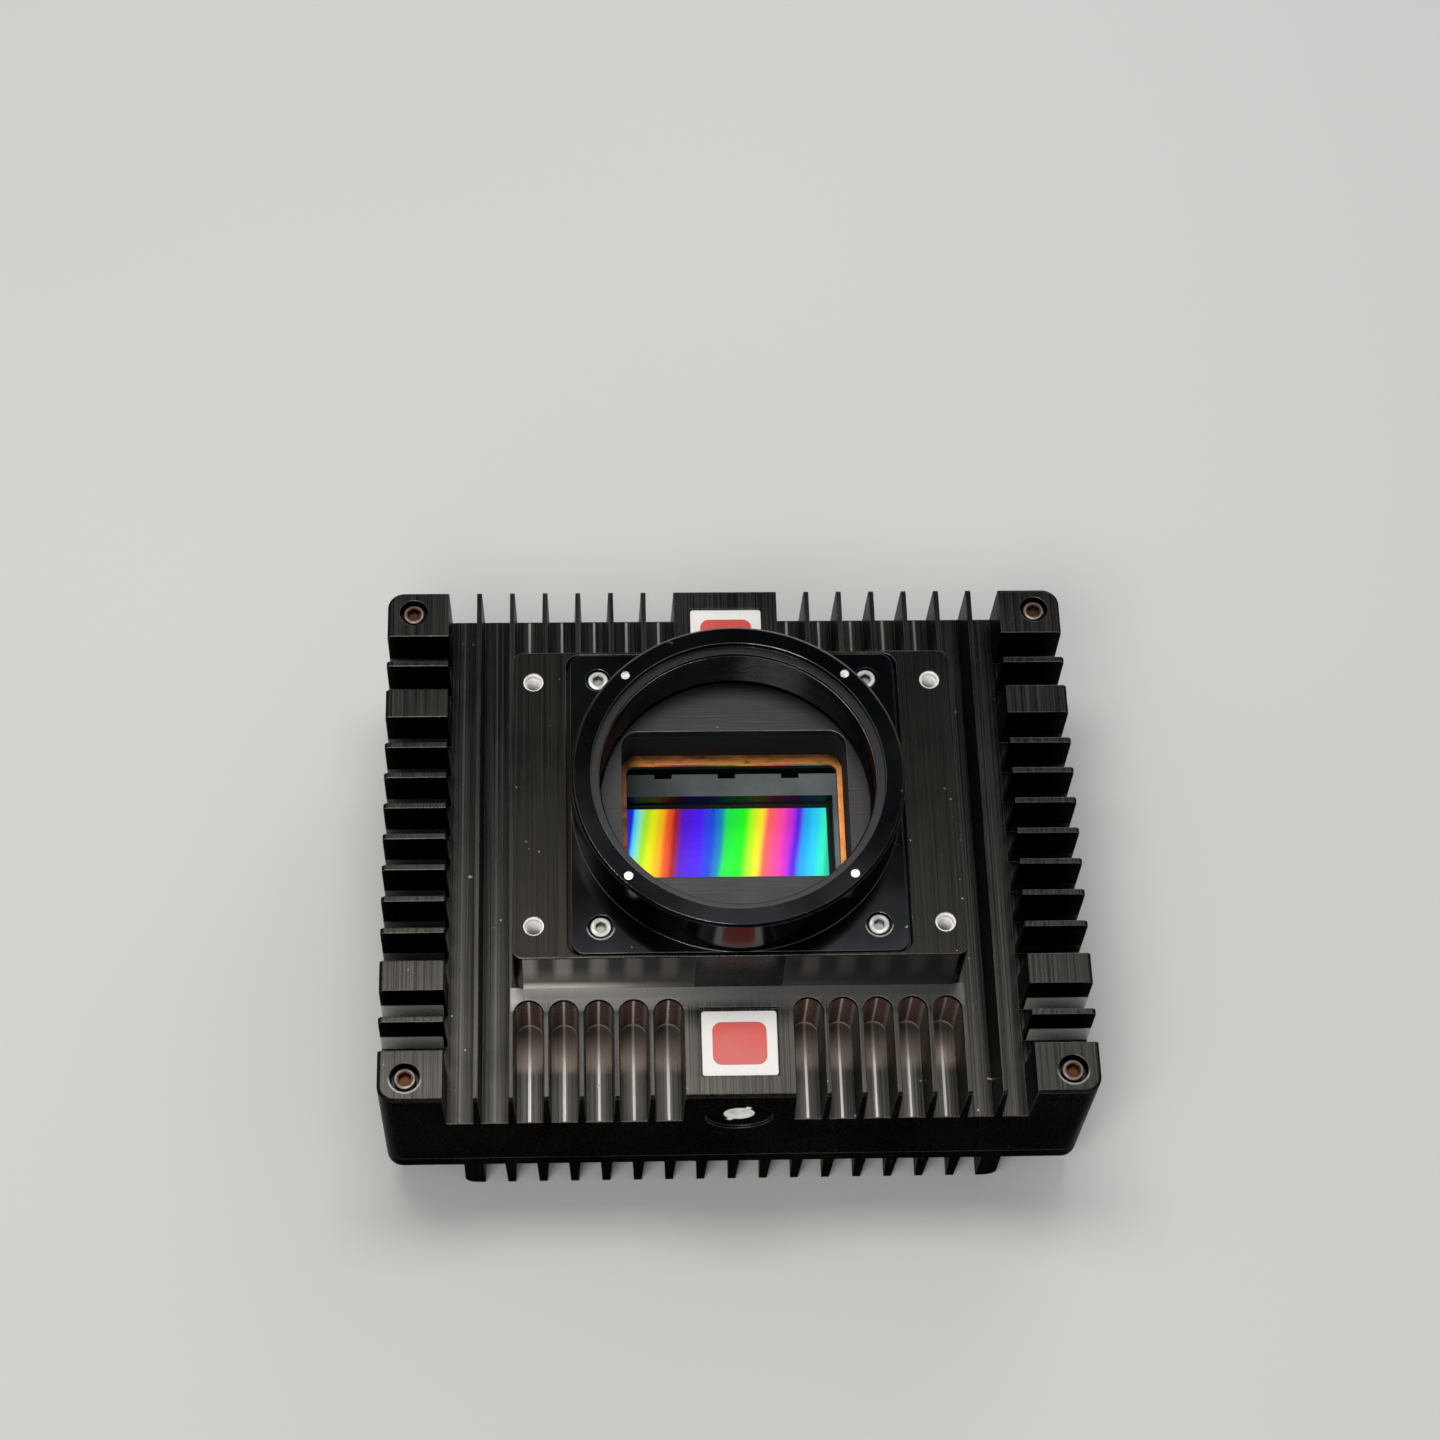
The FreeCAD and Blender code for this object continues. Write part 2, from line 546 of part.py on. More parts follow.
def heat_spreader():
    """Aluminium plate between the sensor's pad and the processor's pads."""
    return block(SPREADER_X, SPREADER_Y, SPREADER_LOW, SPREADER_TOP)


def spreader_pads():
    """Soft spacers between the heat spreader and the processor board."""
    spots = [(side * 32.0, y) for side in (-1, 1) for y in (-22.0, 22.0)]
    return group([block(12.0, 12.0, PROC_TOP, SPREADER_LOW, at) for at in spots])


def standoffs():
    """Hexagonal spacers between the sensor board and the roof of the electronics space."""
    solids = []
    for at in four(STANDOFF_XY):
        spacer = hexagon(STANDOFF_FLATS, SENSOR_BOARD_Z, CAVITY_Z, at)
        solids.append(spacer.cut(shank(at, M3_LOW[0], SENSOR_BOARD_Z - 1, CAVITY_Z + 1)))
    return group(solids)


def stack_screws():
    """Screws that clamp sensor board and standoffs to the housing."""
    return group([plain_screw(at, M3_LOW, SENSOR_BOARD_LOW, CAVITY_Z + 6.2) for at in four(STANDOFF_XY)])


def board_connectors():
    """Two mezzanine connectors between the boards."""
    spots = ((0.0, LINK_MID_Y), (0.0, -LINK_MID_Y))
    return group([block(LINK_X, LINK_Y, PROC_TOP, SENSOR_BOARD_LOW, at) for at in spots])


def processor_board():
    return board(PROC_BOARD_X, PROC_BOARD_Y, PROC_Z, four(POST_XY))


def processor_chips():
    return group([block(CHIP, CHIP, PROC_Z - CHIP_T, PROC_Z, at) for at in CHIP_XY])


def chip_pads():
    return group([block(CHIP - 2, CHIP - 2, SEAM_Z, PROC_Z - CHIP_T, at) for at in CHIP_XY])


def memory_chips():
    spots = [(x, -53.0) for x in (-45.0, -27.0, -9.0, 9.0, 27.0, 45.0)]
    return group([block(13.0, 9.0, PROC_TOP, PROC_TOP + 1.2, at) for at in spots])


def power_inductors():
    spots = [(side * 62.0, y) for side in (-1, 1) for y in (-24.0, -8.0, 8.0, 24.0)]
    return group([prism(at, 6.5, 8, PROC_TOP, PROC_TOP + 5.0) for at in spots])


def board_screws():
    return group([plain_screw(at, M3_LOW, PROC_TOP, FIN_H + 2.5) for at in four(POST_XY)])


# ---- Rear connectors ----------------------------------------------------------------------------
def coax_shells():
    """Four coaxial data sockets, each with a hexagon flange."""
    solids = []
    for at in COAX_XY:
        shell = peg(at, COAX_R, COAX_TIP_Z, PROC_Z).fuse(hexagon(11.0, FIN_H - 2.4, FIN_H, at))
        solids.append(shell.cut(peg(at, COAX_BORE_R, COAX_TIP_Z - 1, FIN_H + 1)))
    return group(solids)


def coax_insulators():
    floor_z = COAX_TIP_Z + SOCKET_DEPTH
    return group([peg(at, COAX_BORE_R, floor_z, FIN_H + 1) for at in COAX_XY])


def coax_contacts():
    """Square contact tips, just proud of the insulators."""
    floor_z = COAX_TIP_Z + SOCKET_DEPTH
    return group([block(1.2, 1.2, floor_z - 0.3, floor_z, at) for at in COAX_XY])


def power_connector():
    """Round power and trigger socket with its flange."""
    shell = peg(POWER_XY, POWER_R, POWER_TIP_Z, PROC_Z)
    shell = shell.fuse(peg(POWER_XY, POWER_FLANGE_R, FIN_H - 2.0, FIN_H))
    return shell.cut(peg(POWER_XY, POWER_BORE_R, POWER_TIP_Z - 1, FIN_H + 1))


def power_insulator():
    return peg(POWER_XY, POWER_BORE_R, POWER_TIP_Z + SOCKET_DEPTH, FIN_H + 1)


def power_contacts():
    """Contact tips, nine in a ring and three inside it, just proud of the insulator."""
    floor_z = POWER_TIP_Z + SOCKET_DEPTH
    spots = []
    for count, r in ((9, 3.7), (3, 1.5)):
        for k in range(count):
            a = 2 * math.pi * k / count - math.pi / 2
            spots.append((POWER_XY[0] + r * math.cos(a), POWER_XY[1] + r * math.sin(a)))
    return group([block(0.8, 0.8, floor_z - 0.3, floor_z, at) for at in spots])


def status_light():
    """Light pipe from the board to a low lens in the bay."""
    return peg(LIGHT_XY, LIGHT_R, FIN_H - LIGHT_PROUD, PROC_Z)


# ---- Output -------------------------------------------------------------------------------------
SUB_PARTS = {
    "front_housing": front_housing,
    "lens_platform": lens_platform,
    "rear_cover": rear_cover,
    "housing_gasket": lambda: housing_gasket(SEAM_Z - 1.4, SEAM_Z),
    "corner_screws": corner_screws,
    "lens_mount": lens_mount,
    "mount_screws": mount_screws,
    "rim_screws": rim_screws,
    "mount_inserts": mount_inserts,
    "tripod_insert": tripod_insert,
    "front_label": lambda: label(-1),
    "back_label": lambda: label(1),
    "sensor_baffle": sensor_baffle,
    "copper_frame": copper_frame,
    "sensor_carrier": sensor_carrier,
    "sensor_package": sensor_package,
    "sensor_die": sensor_die,
    "cover_glass": cover_glass,
    "sensor_board": sensor_board,
    "sensor_pad": sensor_pad,
    "heat_spreader": heat_spreader,
    "spreader_pads": spreader_pads,
    "standoffs": standoffs,
    "stack_screws": stack_screws,
    "board_connectors": board_connectors,
    "processor_board": processor_board,
    "processor_chips": processor_chips,
    "chip_pads": chip_pads,
    "memory_chips": memory_chips,
    "power_inductors": power_inductors,
    "board_screws": board_screws,
    "coax_shells": coax_shells,
    "coax_insulators": coax_insulators,
    "coax_contacts": coax_contacts,
    "power_connector": power_connector,
    "power_insulator": power_insulator,
    "power_contacts": power_contacts,
    "status_light": status_light,
}

os.makedirs("parts", exist_ok=True)
for name, make in SUB_PARTS.items():
    shape = make()
    shape.exportStep(f"parts/{name}.step")
    print(f"{name:18s} solids {len(shape.Solids)} volume {shape.Volume:10.1f} mm3 valid {shape.isValid()}")
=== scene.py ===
import math
import bpy
from mathutils import Matrix, Vector


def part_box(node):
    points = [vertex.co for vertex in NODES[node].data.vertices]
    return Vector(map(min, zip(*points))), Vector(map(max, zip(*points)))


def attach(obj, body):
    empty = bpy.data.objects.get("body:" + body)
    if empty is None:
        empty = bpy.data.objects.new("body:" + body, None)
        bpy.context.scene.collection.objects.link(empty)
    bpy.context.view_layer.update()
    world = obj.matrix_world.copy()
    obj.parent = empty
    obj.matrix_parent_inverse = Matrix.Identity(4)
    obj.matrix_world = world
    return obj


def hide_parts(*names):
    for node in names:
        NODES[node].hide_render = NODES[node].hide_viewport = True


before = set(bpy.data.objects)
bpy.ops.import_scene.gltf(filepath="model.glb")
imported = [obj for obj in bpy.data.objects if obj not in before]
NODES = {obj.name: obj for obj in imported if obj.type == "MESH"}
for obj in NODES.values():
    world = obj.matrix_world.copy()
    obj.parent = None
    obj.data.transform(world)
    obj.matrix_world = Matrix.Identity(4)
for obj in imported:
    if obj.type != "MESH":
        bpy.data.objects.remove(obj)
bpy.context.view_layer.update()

MM = 0.001

# Places in millimetres from the middle: the first three stand for four each, mirrored both ways
CORNER_XY = (85.4, 67.6)
MOUNT_XY = (35.4, 35.4)
INSERT_XY = (52.4, 35.0)
COAX_X, COAX_Y = (-27.0, -9.0, 9.0, 27.0), 14.0
POWER_XY = (14.0, 42.0)
TRIPOD_Z = 48.6


# ---- Selecting and placing ------------------------------------------------------------------
def deselect_all():
    if bpy.context.object and bpy.context.object.mode != "OBJECT":
        bpy.ops.object.mode_set(mode="OBJECT")
    bpy.ops.object.select_all(action="DESELECT")


def take(piece):
    """Makes the piece the only selected and active object."""
    deselect_all()
    piece.select_set(True)
    bpy.context.view_layer.objects.active = piece


def settle(piece):
    """Puts the piece's place into its mesh and its object at the origin."""
    take(piece)
    bpy.ops.object.transform_apply(location=True, rotation=True, scale=True)


def pick_faces(piece, wanted):
    """In edit mode, selects the faces whose middle and normal the test accepts."""
    bpy.ops.mesh.select_mode(type="FACE")
    bpy.ops.mesh.select_all(action="DESELECT")
    bpy.ops.object.mode_set(mode="OBJECT")
    for face in piece.data.polygons:
        face.select = bool(wanted(face.center, face.normal))
    bpy.ops.object.mode_set(mode="EDIT")


def apply_modifiers(piece):
    take(piece)
    for name in [m.name for m in piece.modifiers]:
        bpy.ops.object.modifier_apply(modifier=name)


def smooth(piece, angle=30):
    take(piece)
    bpy.ops.object.shade_smooth_by_angle(angle=math.radians(angle))


def finish_piece(piece, name, finish, rides="root"):
    settle(piece)
    piece.name = name
    piece.data.name = name
    piece.data.materials.clear()
    piece.data.materials.append(finish)
    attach(piece, rides)
    return piece


def join_pieces(pieces):
    deselect_all()
    for piece in pieces:
        piece.select_set(True)
    bpy.context.view_layer.objects.active = pieces[0]
    if len(pieces) > 1:
        bpy.ops.object.join()
    return pieces[0]


def copy_at(piece, places):
    """The piece and its copies, each with its own mesh, moved by the given offsets in metres."""
    copies = []
    for place in places:
        copy = piece.copy()
        copy.data = piece.data.copy()
        bpy.context.collection.objects.link(copy)
        copy.location = place
        copies.append(copy)
    bpy.data.objects.remove(piece)
    return join_pieces(copies)


def round_bar(r, low, high, at=(0.0, 0.0), sides=48):
    """Cylinder to be shaped, from low to high, in millimetres."""
    deselect_all()
    bpy.ops.mesh.primitive_cylinder_add(vertices=sides, radius=r * MM, depth=(high - low) * MM,
                                        location=(at[0] * MM, at[1] * MM, (low + high) / 2 * MM))
    return bpy.context.object


def cut_with(piece, tool):
    modifier = piece.modifiers.new("cut", "BOOLEAN")
    modifier.operation = "DIFFERENCE"
    modifier.solver = "EXACT"
    modifier.object = tool
    take(piece)
    bpy.ops.object.modifier_apply(modifier="cut")
    bpy.data.objects.remove(tool)


def top_bevel(piece, z, size, segments=3):
    """Breaks the outline of the upper flat faces that lie at height z, in millimetres."""
    def at_height(centre, normal):
        return normal.z > 0.9 and abs(piece.matrix_world.translation.z + centre.z - z * MM) < 0.05 * MM

    take(piece)
    bpy.ops.object.mode_set(mode="EDIT")
    pick_faces(piece, at_height)
    bpy.ops.mesh.region_to_loop()
    bpy.ops.mesh.bevel(offset=size * MM, segments=segments, affect="EDGES")
    bpy.ops.object.mode_set(mode="OBJECT")


# ---- Building finishes ------------------------------------------------------------------------
def node(tree, kind, **values):
    """New node: attributes by name, and its inputs by s_NAME or by position as i0, i1."""
    made = tree.nodes.new(kind)
    for key, value in values.items():
        if key.startswith("s_"):
            made.inputs[key[2:].replace("_", " ")].default_value = value
        elif key[0] == "i" and key[1:].isdigit():
            made.inputs[int(key[1:])].default_value = value
        else:
            setattr(made, key, value)
    return made


def wire(tree, source, target, out=0):
    tree.links.new(source.outputs[out], target)


def new_finish(name, colour, metallic=0.0, roughness=0.4, **sockets):
    finish = bpy.data.materials.new(name)
    finish.use_nodes = True
    tree = finish.node_tree
    shader = tree.nodes["Principled BSDF"]
    shader.inputs["Base Color"].default_value = (*colour, 1)
    shader.inputs["Metallic"].default_value = metallic
    shader.inputs["Roughness"].default_value = roughness
    for key, value in sockets.items():
        shader.inputs[key.replace("_", " ")].default_value = value
    return finish, tree, shader


def object_place(tree, scale=(1, 1, 1)):
    """Object coordinates, stretched."""
    place = node(tree, "ShaderNodeTexCoord")
    mapping = node(tree, "ShaderNodeMapping", s_Scale=scale)
    tree.links.new(place.outputs["Object"], mapping.inputs["Vector"])
    return mapping


def noise(tree, vector, scale, detail=4.0, rough=0.55):
    made = node(tree, "ShaderNodeTexNoise", s_Scale=scale, s_Detail=detail, s_Roughness=rough)
    wire(tree, vector, made.inputs["Vector"])
    return made


def spread(tree, source, low, high, to_low, to_high, out=0):
    """Maps a value from one range to another."""
    made = node(tree, "ShaderNodeMapRange", i1=low, i2=high, i3=to_low, i4=to_high)
    wire(tree, source, made.inputs[0], out)
    return made


def mix(tree, mask, below, above):
    """Socket of a colour that goes from one to the other with the mask; each is a plain colour or a socket."""
    made = node(tree, "ShaderNodeMix", data_type="RGBA")
    wire(tree, mask, made.inputs[0])
    for target, colour in ((made.inputs[6], below), (made.inputs[7], above)):
        if isinstance(colour, tuple):
            target.default_value = (*colour, 1)
        else:
            tree.links.new(colour, target)
    return made.outputs[2]


def paint(tree, colour):
    """Gives the finish this base colour, a socket."""
    tree.links.new(colour, tree.nodes["Principled BSDF"].inputs["Base Color"])


def calculate(tree, kind, first, second=None, value=0.5, out=0):
    made = node(tree, "ShaderNodeMath", operation=kind)
    wire(tree, first, made.inputs[0], out)
    if second is None:
        made.inputs[1].default_value = value
    else:
        wire(tree, second, made.inputs[1])
    return made


def rounded_edge_mask(tree, radius, shader, bump):
    """Rounds sharp edges in the shading and returns a mask that is 1 on them."""
    rounded = node(tree, "ShaderNodeBevel", samples=6, s_Radius=radius)
    flat = node(tree, "ShaderNodeNewGeometry")
    dot = node(tree, "ShaderNodeVectorMath", operation="DOT_PRODUCT")
    wire(tree, rounded, dot.inputs[0])
    tree.links.new(flat.outputs["True Normal"], dot.inputs[1])
    mask = spread(tree, dot, 0.99, 0.8, 0.0, 1.0, 1)
    wire(tree, rounded, bump.inputs["Normal"])
    wire(tree, bump, shader.inputs["Normal"])
    return mask


def split_place(tree):
    """The three object coordinates, one output each."""
    split = node(tree, "ShaderNodeSeparateXYZ")
    wire(tree, object_place(tree), split.inputs[0])
    return split


def split_normal(tree):
    """The three parts of the face's own normal, one output each."""
    facing = node(tree, "ShaderNodeNewGeometry")
    turn = node(tree, "ShaderNodeSeparateXYZ")
    tree.links.new(facing.outputs["True Normal"], turn.inputs[0])
    return turn


def times(tree, first, *others):
    """Product of masks."""
    for other in others:
        first = calculate(tree, "MULTIPLY", first, other)
    return first


def largest(tree, first, *others):
    """The greatest of several masks."""
    for other in others:
        first = calculate(tree, "MAXIMUM", first, other)
    return first


def between(tree, source, low, high, soft=0.0002, out=0):
    """1 where a value lies between two limits, 0 elsewhere, with soft ends."""
    rise = spread(tree, source, low - soft, low, 0.0, 1.0, out)
    fall = spread(tree, source, high, high + soft, 1.0, 0.0, out)
    return calculate(tree, "MULTIPLY", rise, fall)


def shade_ramp(tree, source, stops, tint):
    """Shades of one tint along a value that runs from 0 to 1."""
    made = node(tree, "ShaderNodeValToRGB")
    ramp = made.color_ramp
    ramp.elements[0].position, ramp.elements[1].position = stops[0][0], stops[-1][0]
    for element, (_, value) in zip(ramp.elements, (stops[0], stops[-1])):
        element.color = (*(value * t for t in tint), 1)
    for position, value in stops[1:-1]:
        ramp.elements.new(position).color = (*(value * t for t in tint), 1)
    wire(tree, source, made.inputs[0])
    return made


# Heights and distances that place the painted light on the housing, in metres
SLOT_PITCH = 0.009
SLOT_FLOOR_Z, RIDGE_Z = 0.0458, 0.063
LABEL_SIDE_X, CENTRE_BLOCK_X, SHORT_SLOTS_X, SIDE_GAPS_X = 0.0115, 0.0142, 0.0585, 0.0756
HALF_LENGTH = 0.074
OFF_METAL = 0.2                 # metallic value of the places with painted light

# Painted light along a value that runs from 0 to 1: a painted sheen over a slot's floor from its middle to its wall,
# and painted light from left to right over the ledge and over the platform's front wall
SHEEN = (0.0, 1.0), (0.08, 0.7), (0.2, 0.5), (0.4, 0.4), (0.62, 0.3), (1.0, 0.2)
LEDGE_PAINTED_LIGHT = (0.0, 0.33), (0.2, 0.37), (0.3, 0.34), (0.4, 0.25), (0.55, 0.16), (1.0, 0.085)
WALL_PAINTED_LIGHT = (0.0, 0.95), (0.12, 0.85), (0.2, 0.55), (0.28, 0.32), (0.4, 0.24), (0.65, 0.2), (0.82, 0.1), (1.0, 0.06)


def painted_slot_light(tree, tone):
    """Painted light in the slots: a painted highlight line down the middle of each floor and round end,
    painted brown reflection on the round ends, a painted light foot to the side walls and a painted lit ledge. Returns
    the colour and the metallic value."""
    split, turn = split_place(tree), split_normal(tree)
    upright = spread(tree, calculate(tree, "ABSOLUTE", turn, out=2), 0.3, 0.1, 0.0, 1.0)
    across = calculate(tree, "ABSOLUTE", split, out=0)
    along = calculate(tree, "ABSOLUTE", split, out=1)
    off_centre = calculate(tree, "PINGPONG", split, value=SLOT_PITCH / 2, out=0)
    bottom = SLOT_FLOOR_Z - 0.0003
    in_slots = times(tree, between(tree, split, bottom, RIDGE_Z - 0.0015, out=2),
                     between(tree, across, CENTRE_BLOCK_X, SIDE_GAPS_X),
                     between(tree, along, -1.0, HALF_LENGTH - 0.0004))
    long_slot = spread(tree, across, SHORT_SLOTS_X - 0.0005, SHORT_SLOTS_X + 0.0005, 0.0, 1.0)
    short_slot = spread(tree, long_slot, 0.0, 1.0, 1.0, 0.0)

    # the painted highlight line down the middle, weaker to the right and almost none in the long slots
    line = times(tree, spread(tree, off_centre, 0.0004, 0.00018, 0.0, 1.0),
                 spread(tree, split, 0.01, 0.055, 1.0, 0.4, 0), spread(tree, long_slot, 0.0, 1.0, 1.0, 0.06))

    # floors: a painted sheen that falls off to both walls, and painted light near the round end
    reach = calculate(tree, "MAXIMUM", spread(tree, off_centre, 0.0, SLOT_PITCH / 2, 0.0, 1.0),
                      calculate(tree, "MULTIPLY", long_slot, value=0.25))
    sheen = shade_ramp(tree, reach, SHEEN, (1, 1, 1))
    floor = node(tree, "ShaderNodeMix", data_type="RGBA", blend_type="MULTIPLY")
    floor.inputs[0].default_value = 1.0
    tree.links.new(tone, floor.inputs[6])
    wire(tree, sheen, floor.inputs[7])
    bright = node(tree, "ShaderNodeVectorMath", operation="SCALE")
    bright.inputs["Scale"].default_value = 1.9
    wire(tree, floor, bright.inputs[0], 2)
    near_end = times(tree, spread(tree, along, 0.061, 0.053, 0.0, 0.8), short_slot)
    floor_tone = mix(tree, near_end, bright.outputs["Vector"], (0.15, 0.118, 0.098))
    floor_tone = mix(tree, line, floor_tone, (0.36, 0.35, 0.33))

    # walls: painted brown reflection on the round ends that turns grey to their sides, painted reflection on the
    # flanks, a painted highlight arc at the foot
    brown_to_grey = spread(tree, off_centre, 0.0024, 0.0031, 0.0, 1.0)
    brown = mix(tree, brown_to_grey, (0.15, 0.088, 0.07), (0.3, 0.27, 0.24))
    flank = spread(tree, off_centre, 0.00325, 0.0034, 0.0, 1.0)
    not_flank = spread(tree, flank, 0.0, 1.0, 1.0, 0.0)
    wall_tone = mix(tree, flank, brown, (0.15, 0.135, 0.115))
    arc = times(tree, not_flank, spread(tree, split, SLOT_FLOOR_Z + 0.0009, SLOT_FLOOR_Z + 0.0006, 0.0, 1.0, 2))
    wall_tone = mix(tree, largest(tree, line, arc), wall_tone, (0.85, 0.78, 0.7))
    colour = mix(tree, in_slots, tone, mix(tree, upright, floor_tone, wall_tone))

    # painted light: the walls in the side gaps that face the front have a light foot, higher in the two front gaps
    front_gaps = times(tree, between(tree, split, -0.0600, -0.0430, out=1),
                       between(tree, split, bottom, 0.0530, 0.0006, out=2))
    other_gaps = times(tree, between(tree, split, -0.0425, 0.0600, out=1),
                       between(tree, split, bottom, 0.0502, 0.0006, out=2),
                       spread(tree, split, -0.01, 0.01, 0.35, 0.08, 0))
    painted_gap_foot = times(tree, largest(tree, front_gaps, other_gaps), upright,
                      between(tree, across, SIDE_GAPS_X + 0.0008, 1.0), spread(tree, turn, -0.7, -0.9, 0.0, 1.0, 1))
    colour = mix(tree, painted_gap_foot, colour, (0.55, 0.55, 0.52))

    # painted light on the ledge between the raised block and the short slots
    ledge = times(tree, spread(tree, split, -0.0505, -0.0470, 0.0, 1.0, 1),
                  spread(tree, split, -0.0436, -0.0435, 1.0, 0.0, 1),
                  between(tree, split, RIDGE_Z - 0.0002, RIDGE_Z + 0.0002, out=2),
                  between(tree, across, -1.0, SHORT_SLOTS_X))
    fall_off = shade_ramp(tree, spread(tree, split, -SHORT_SLOTS_X, SHORT_SLOTS_X, 0.0, 1.0, 0),
                          LEDGE_PAINTED_LIGHT, (1.0, 0.965, 0.92))
    colour = mix(tree, ledge, colour, fall_off.outputs[0])

    # metallic is lowered where the painted light lies
    dull = times(tree, in_slots, largest(tree, line, near_end, times(tree, upright, not_flank)))
    return colour, spread(tree, largest(tree, dull, painted_gap_foot, ledge), 0.0, 1.0, 1.0, OFF_METAL)


def lit_step(finish, low, high, colour, roughness):
    """The level faces between two heights take their own colour, a painted highlight, and their own roughness."""
    tree = finish.node_tree
    level = spread(tree, split_normal(tree), 0.6, 0.9, 0.0, 1.0, 2)
    here = times(tree, between(tree, split_place(tree), low, high, out=2), level)
    own_look(tree, here, colour, roughness)


def anodised(name, dark, light, gloss, polish, streak, streak_depth=0.00002, edge_wear_and_highlight=(0.26, 0.255, 0.245),
             edge=0.35 * MM, rim=0.35, slots=False):
    """Black anodised aluminium: machining lines along one axis, smudges, lint, and edges lightened as wear and as a
    painted highlight.
    """
    finish, tree, shader = new_finish(name, dark, 1.0, gloss, Specular_Tint=(rim, rim, rim, 1))
    lines = noise(tree, object_place(tree, scale=streak), 1.0, 3.0, 0.6)
    cloud = noise(tree, object_place(tree), 38.0, 5.0, 0.6)
    grain = noise(tree, object_place(tree), 2600.0, 2.0, 0.5)
    line_height = spread(tree, lines, 0.3, 0.7, 0.0, 1.0)
    height = calculate(tree, "MULTIPLY_ADD", grain, line_height)
    wire(tree, line_height, height.inputs[2])
    bump = node(tree, "ShaderNodeBump", s_Strength=0.5, s_Distance=streak_depth)
    wire(tree, height, bump.inputs["Height"])
    mask = rounded_edge_mask(tree, edge, shader, bump)
    colour = mix(tree, spread(tree, lines, 0.35, 0.65, 0.0, 1.0), dark, light)
    if slots:
        colour, metallic = painted_slot_light(tree, colour)
        wire(tree, metallic, shader.inputs["Metallic"])
    lint = spread(tree, noise(tree, object_place(tree), 620.0, 1.0, 0.5), 0.785, 0.8, 0.0, 1.0)
    colour = mix(tree, lint, colour, (0.15, 0.15, 0.145))
    # edges lightened in patches: partly wear, partly a painted highlight along them
    patchy = calculate(tree, "MULTIPLY", mask, spread(tree, cloud, 0.35, 0.6, 0.15, 1.0))
    paint(tree, mix(tree, patchy, colour, edge_wear_and_highlight))
    smudge = spread(tree, cloud, 0.35, 0.68, polish[0], polish[1])
    wobble = spread(tree, lines, 0.3, 0.7, -0.05, 0.05)
    wire(tree, calculate(tree, "ADD", smudge, wobble), shader.inputs["Roughness"])
    return finish


def turned_metal(name, colour, roughness, ring_scale=4000.0, dirt=(0.05, 0.045, 0.04), metallic=1.0):
    """Bright turned or rolled metal with fine lines and grime in patches."""
    finish, tree, shader = new_finish(name, colour, metallic, roughness)
    lines = noise(tree, object_place(tree, scale=(0.2, 0.2, 1.0)), ring_scale, 2.0, 0.5)
    cloud = noise(tree, object_place(tree), 420.0, 4.0, 0.6)
    dull = tuple(c * 0.75 + d * 0.2 for c, d in zip(colour, dirt))
    paint(tree, mix(tree, spread(tree, cloud, 0.45, 0.75, 0.0, 0.8), colour, dull))
    wire(tree, spread(tree, cloud, 0.3, 0.7, roughness * 0.7, roughness * 1.7), shader.inputs["Roughness"])
    bump = node(tree, "ShaderNodeBump", s_Strength=0.35, s_Distance=0.00001)
    wire(tree, lines, bump.inputs["Height"])
    rounded_edge_mask(tree, 0.12 * MM, shader, bump)
    return finish


def moulded(name, colour, roughness, grain=1500.0, depth=0.00002, vary=0.12, shine=0.5):
    """Moulded plastic, rubber, ceramic or board lacquer: a fine grain and slight colour variation."""
    finish, tree, shader = new_finish(name, colour, 0.0, roughness, Specular_IOR_Level=shine)
    fine = noise(tree, object_place(tree), grain, 3.0, 0.6)
    cloud = noise(tree, object_place(tree), 90.0, 4.0, 0.6)
    light = tuple(min(1.0, c * (1 + vary)) for c in colour)
    deep = tuple(c * (1 - vary) for c in colour)
    paint(tree, mix(tree, spread(tree, cloud, 0.3, 0.7, 0.0, 1.0), deep, light))
    wire(tree, spread(tree, cloud, 0.3, 0.7, roughness * 0.85, min(1.0, roughness * 1.2)), shader.inputs["Roughness"])
    bump = node(tree, "ShaderNodeBump", s_Strength=0.4, s_Distance=depth)
    wire(tree, fine, bump.inputs["Height"])
    rounded_edge_mask(tree, 0.15 * MM, shader, bump)
    return finish


def own_look(tree, mask, colour, roughness, metallic=None):
    """Where the mask is 1, the surface takes this colour, plain or from a socket, and roughness instead."""
    shader = tree.nodes["Principled BSDF"]
    mixed = node(tree, "ShaderNodeMix", data_type="FLOAT")
    wire(tree, mask, mixed.inputs[0])
    tree.links.new(shader.inputs["Roughness"].links[0].from_socket, mixed.inputs[2])
    mixed.inputs[3].default_value = roughness
    wire(tree, mixed, shader.inputs["Roughness"])
    paint(tree, mix(tree, mask, shader.inputs["Base Color"].links[0].from_socket, colour))
    if metallic is not None:
        before = shader.inputs["Metallic"].default_value
        wire(tree, spread(tree, mask, 0.0, 1.0, before, metallic), shader.inputs["Metallic"])


def ring_mask(tree, x, y, inner, outer, front_only=False):
    """1 between two radii round the upright axes at plus and minus x, and at y or at plus and minus y."""
    split = split_place(tree)
    side = calculate(tree, "SUBTRACT", calculate(tree, "ABSOLUTE", split, out=0), value=x)
    front = split if front_only else calculate(tree, "ABSOLUTE", split, out=1)
    front = calculate(tree, "SUBTRACT", front, value=y, out=1 if front_only else 0)
    squares = [calculate(tree, "POWER", calculate(tree, "ABSOLUTE", part), value=2.0) for part in (side, front)]
    mask = between(tree, calculate(tree, "SQRT", calculate(tree, "ADD", *squares)), inner, outer, 0.0001)
    if front_only:
        mask = times(tree, mask, spread(tree, front, 0.0002, -0.0022, 0.0, 1.0))
    return mask


def crescent(finish, xy, inner, outer, z):
    """The rims of the two front screw bores get a painted highlight along their front halves."""
    tree = finish.node_tree
    rim = ring_mask(tree, xy[0] * MM, -xy[1] * MM, inner, outer, front_only=True)
    here = times(tree, rim, between(tree, split_place(tree), z - 0.0004, z + 0.0004, out=2))
    own_look(tree, here, (0.16, 0.157, 0.15), 0.4)


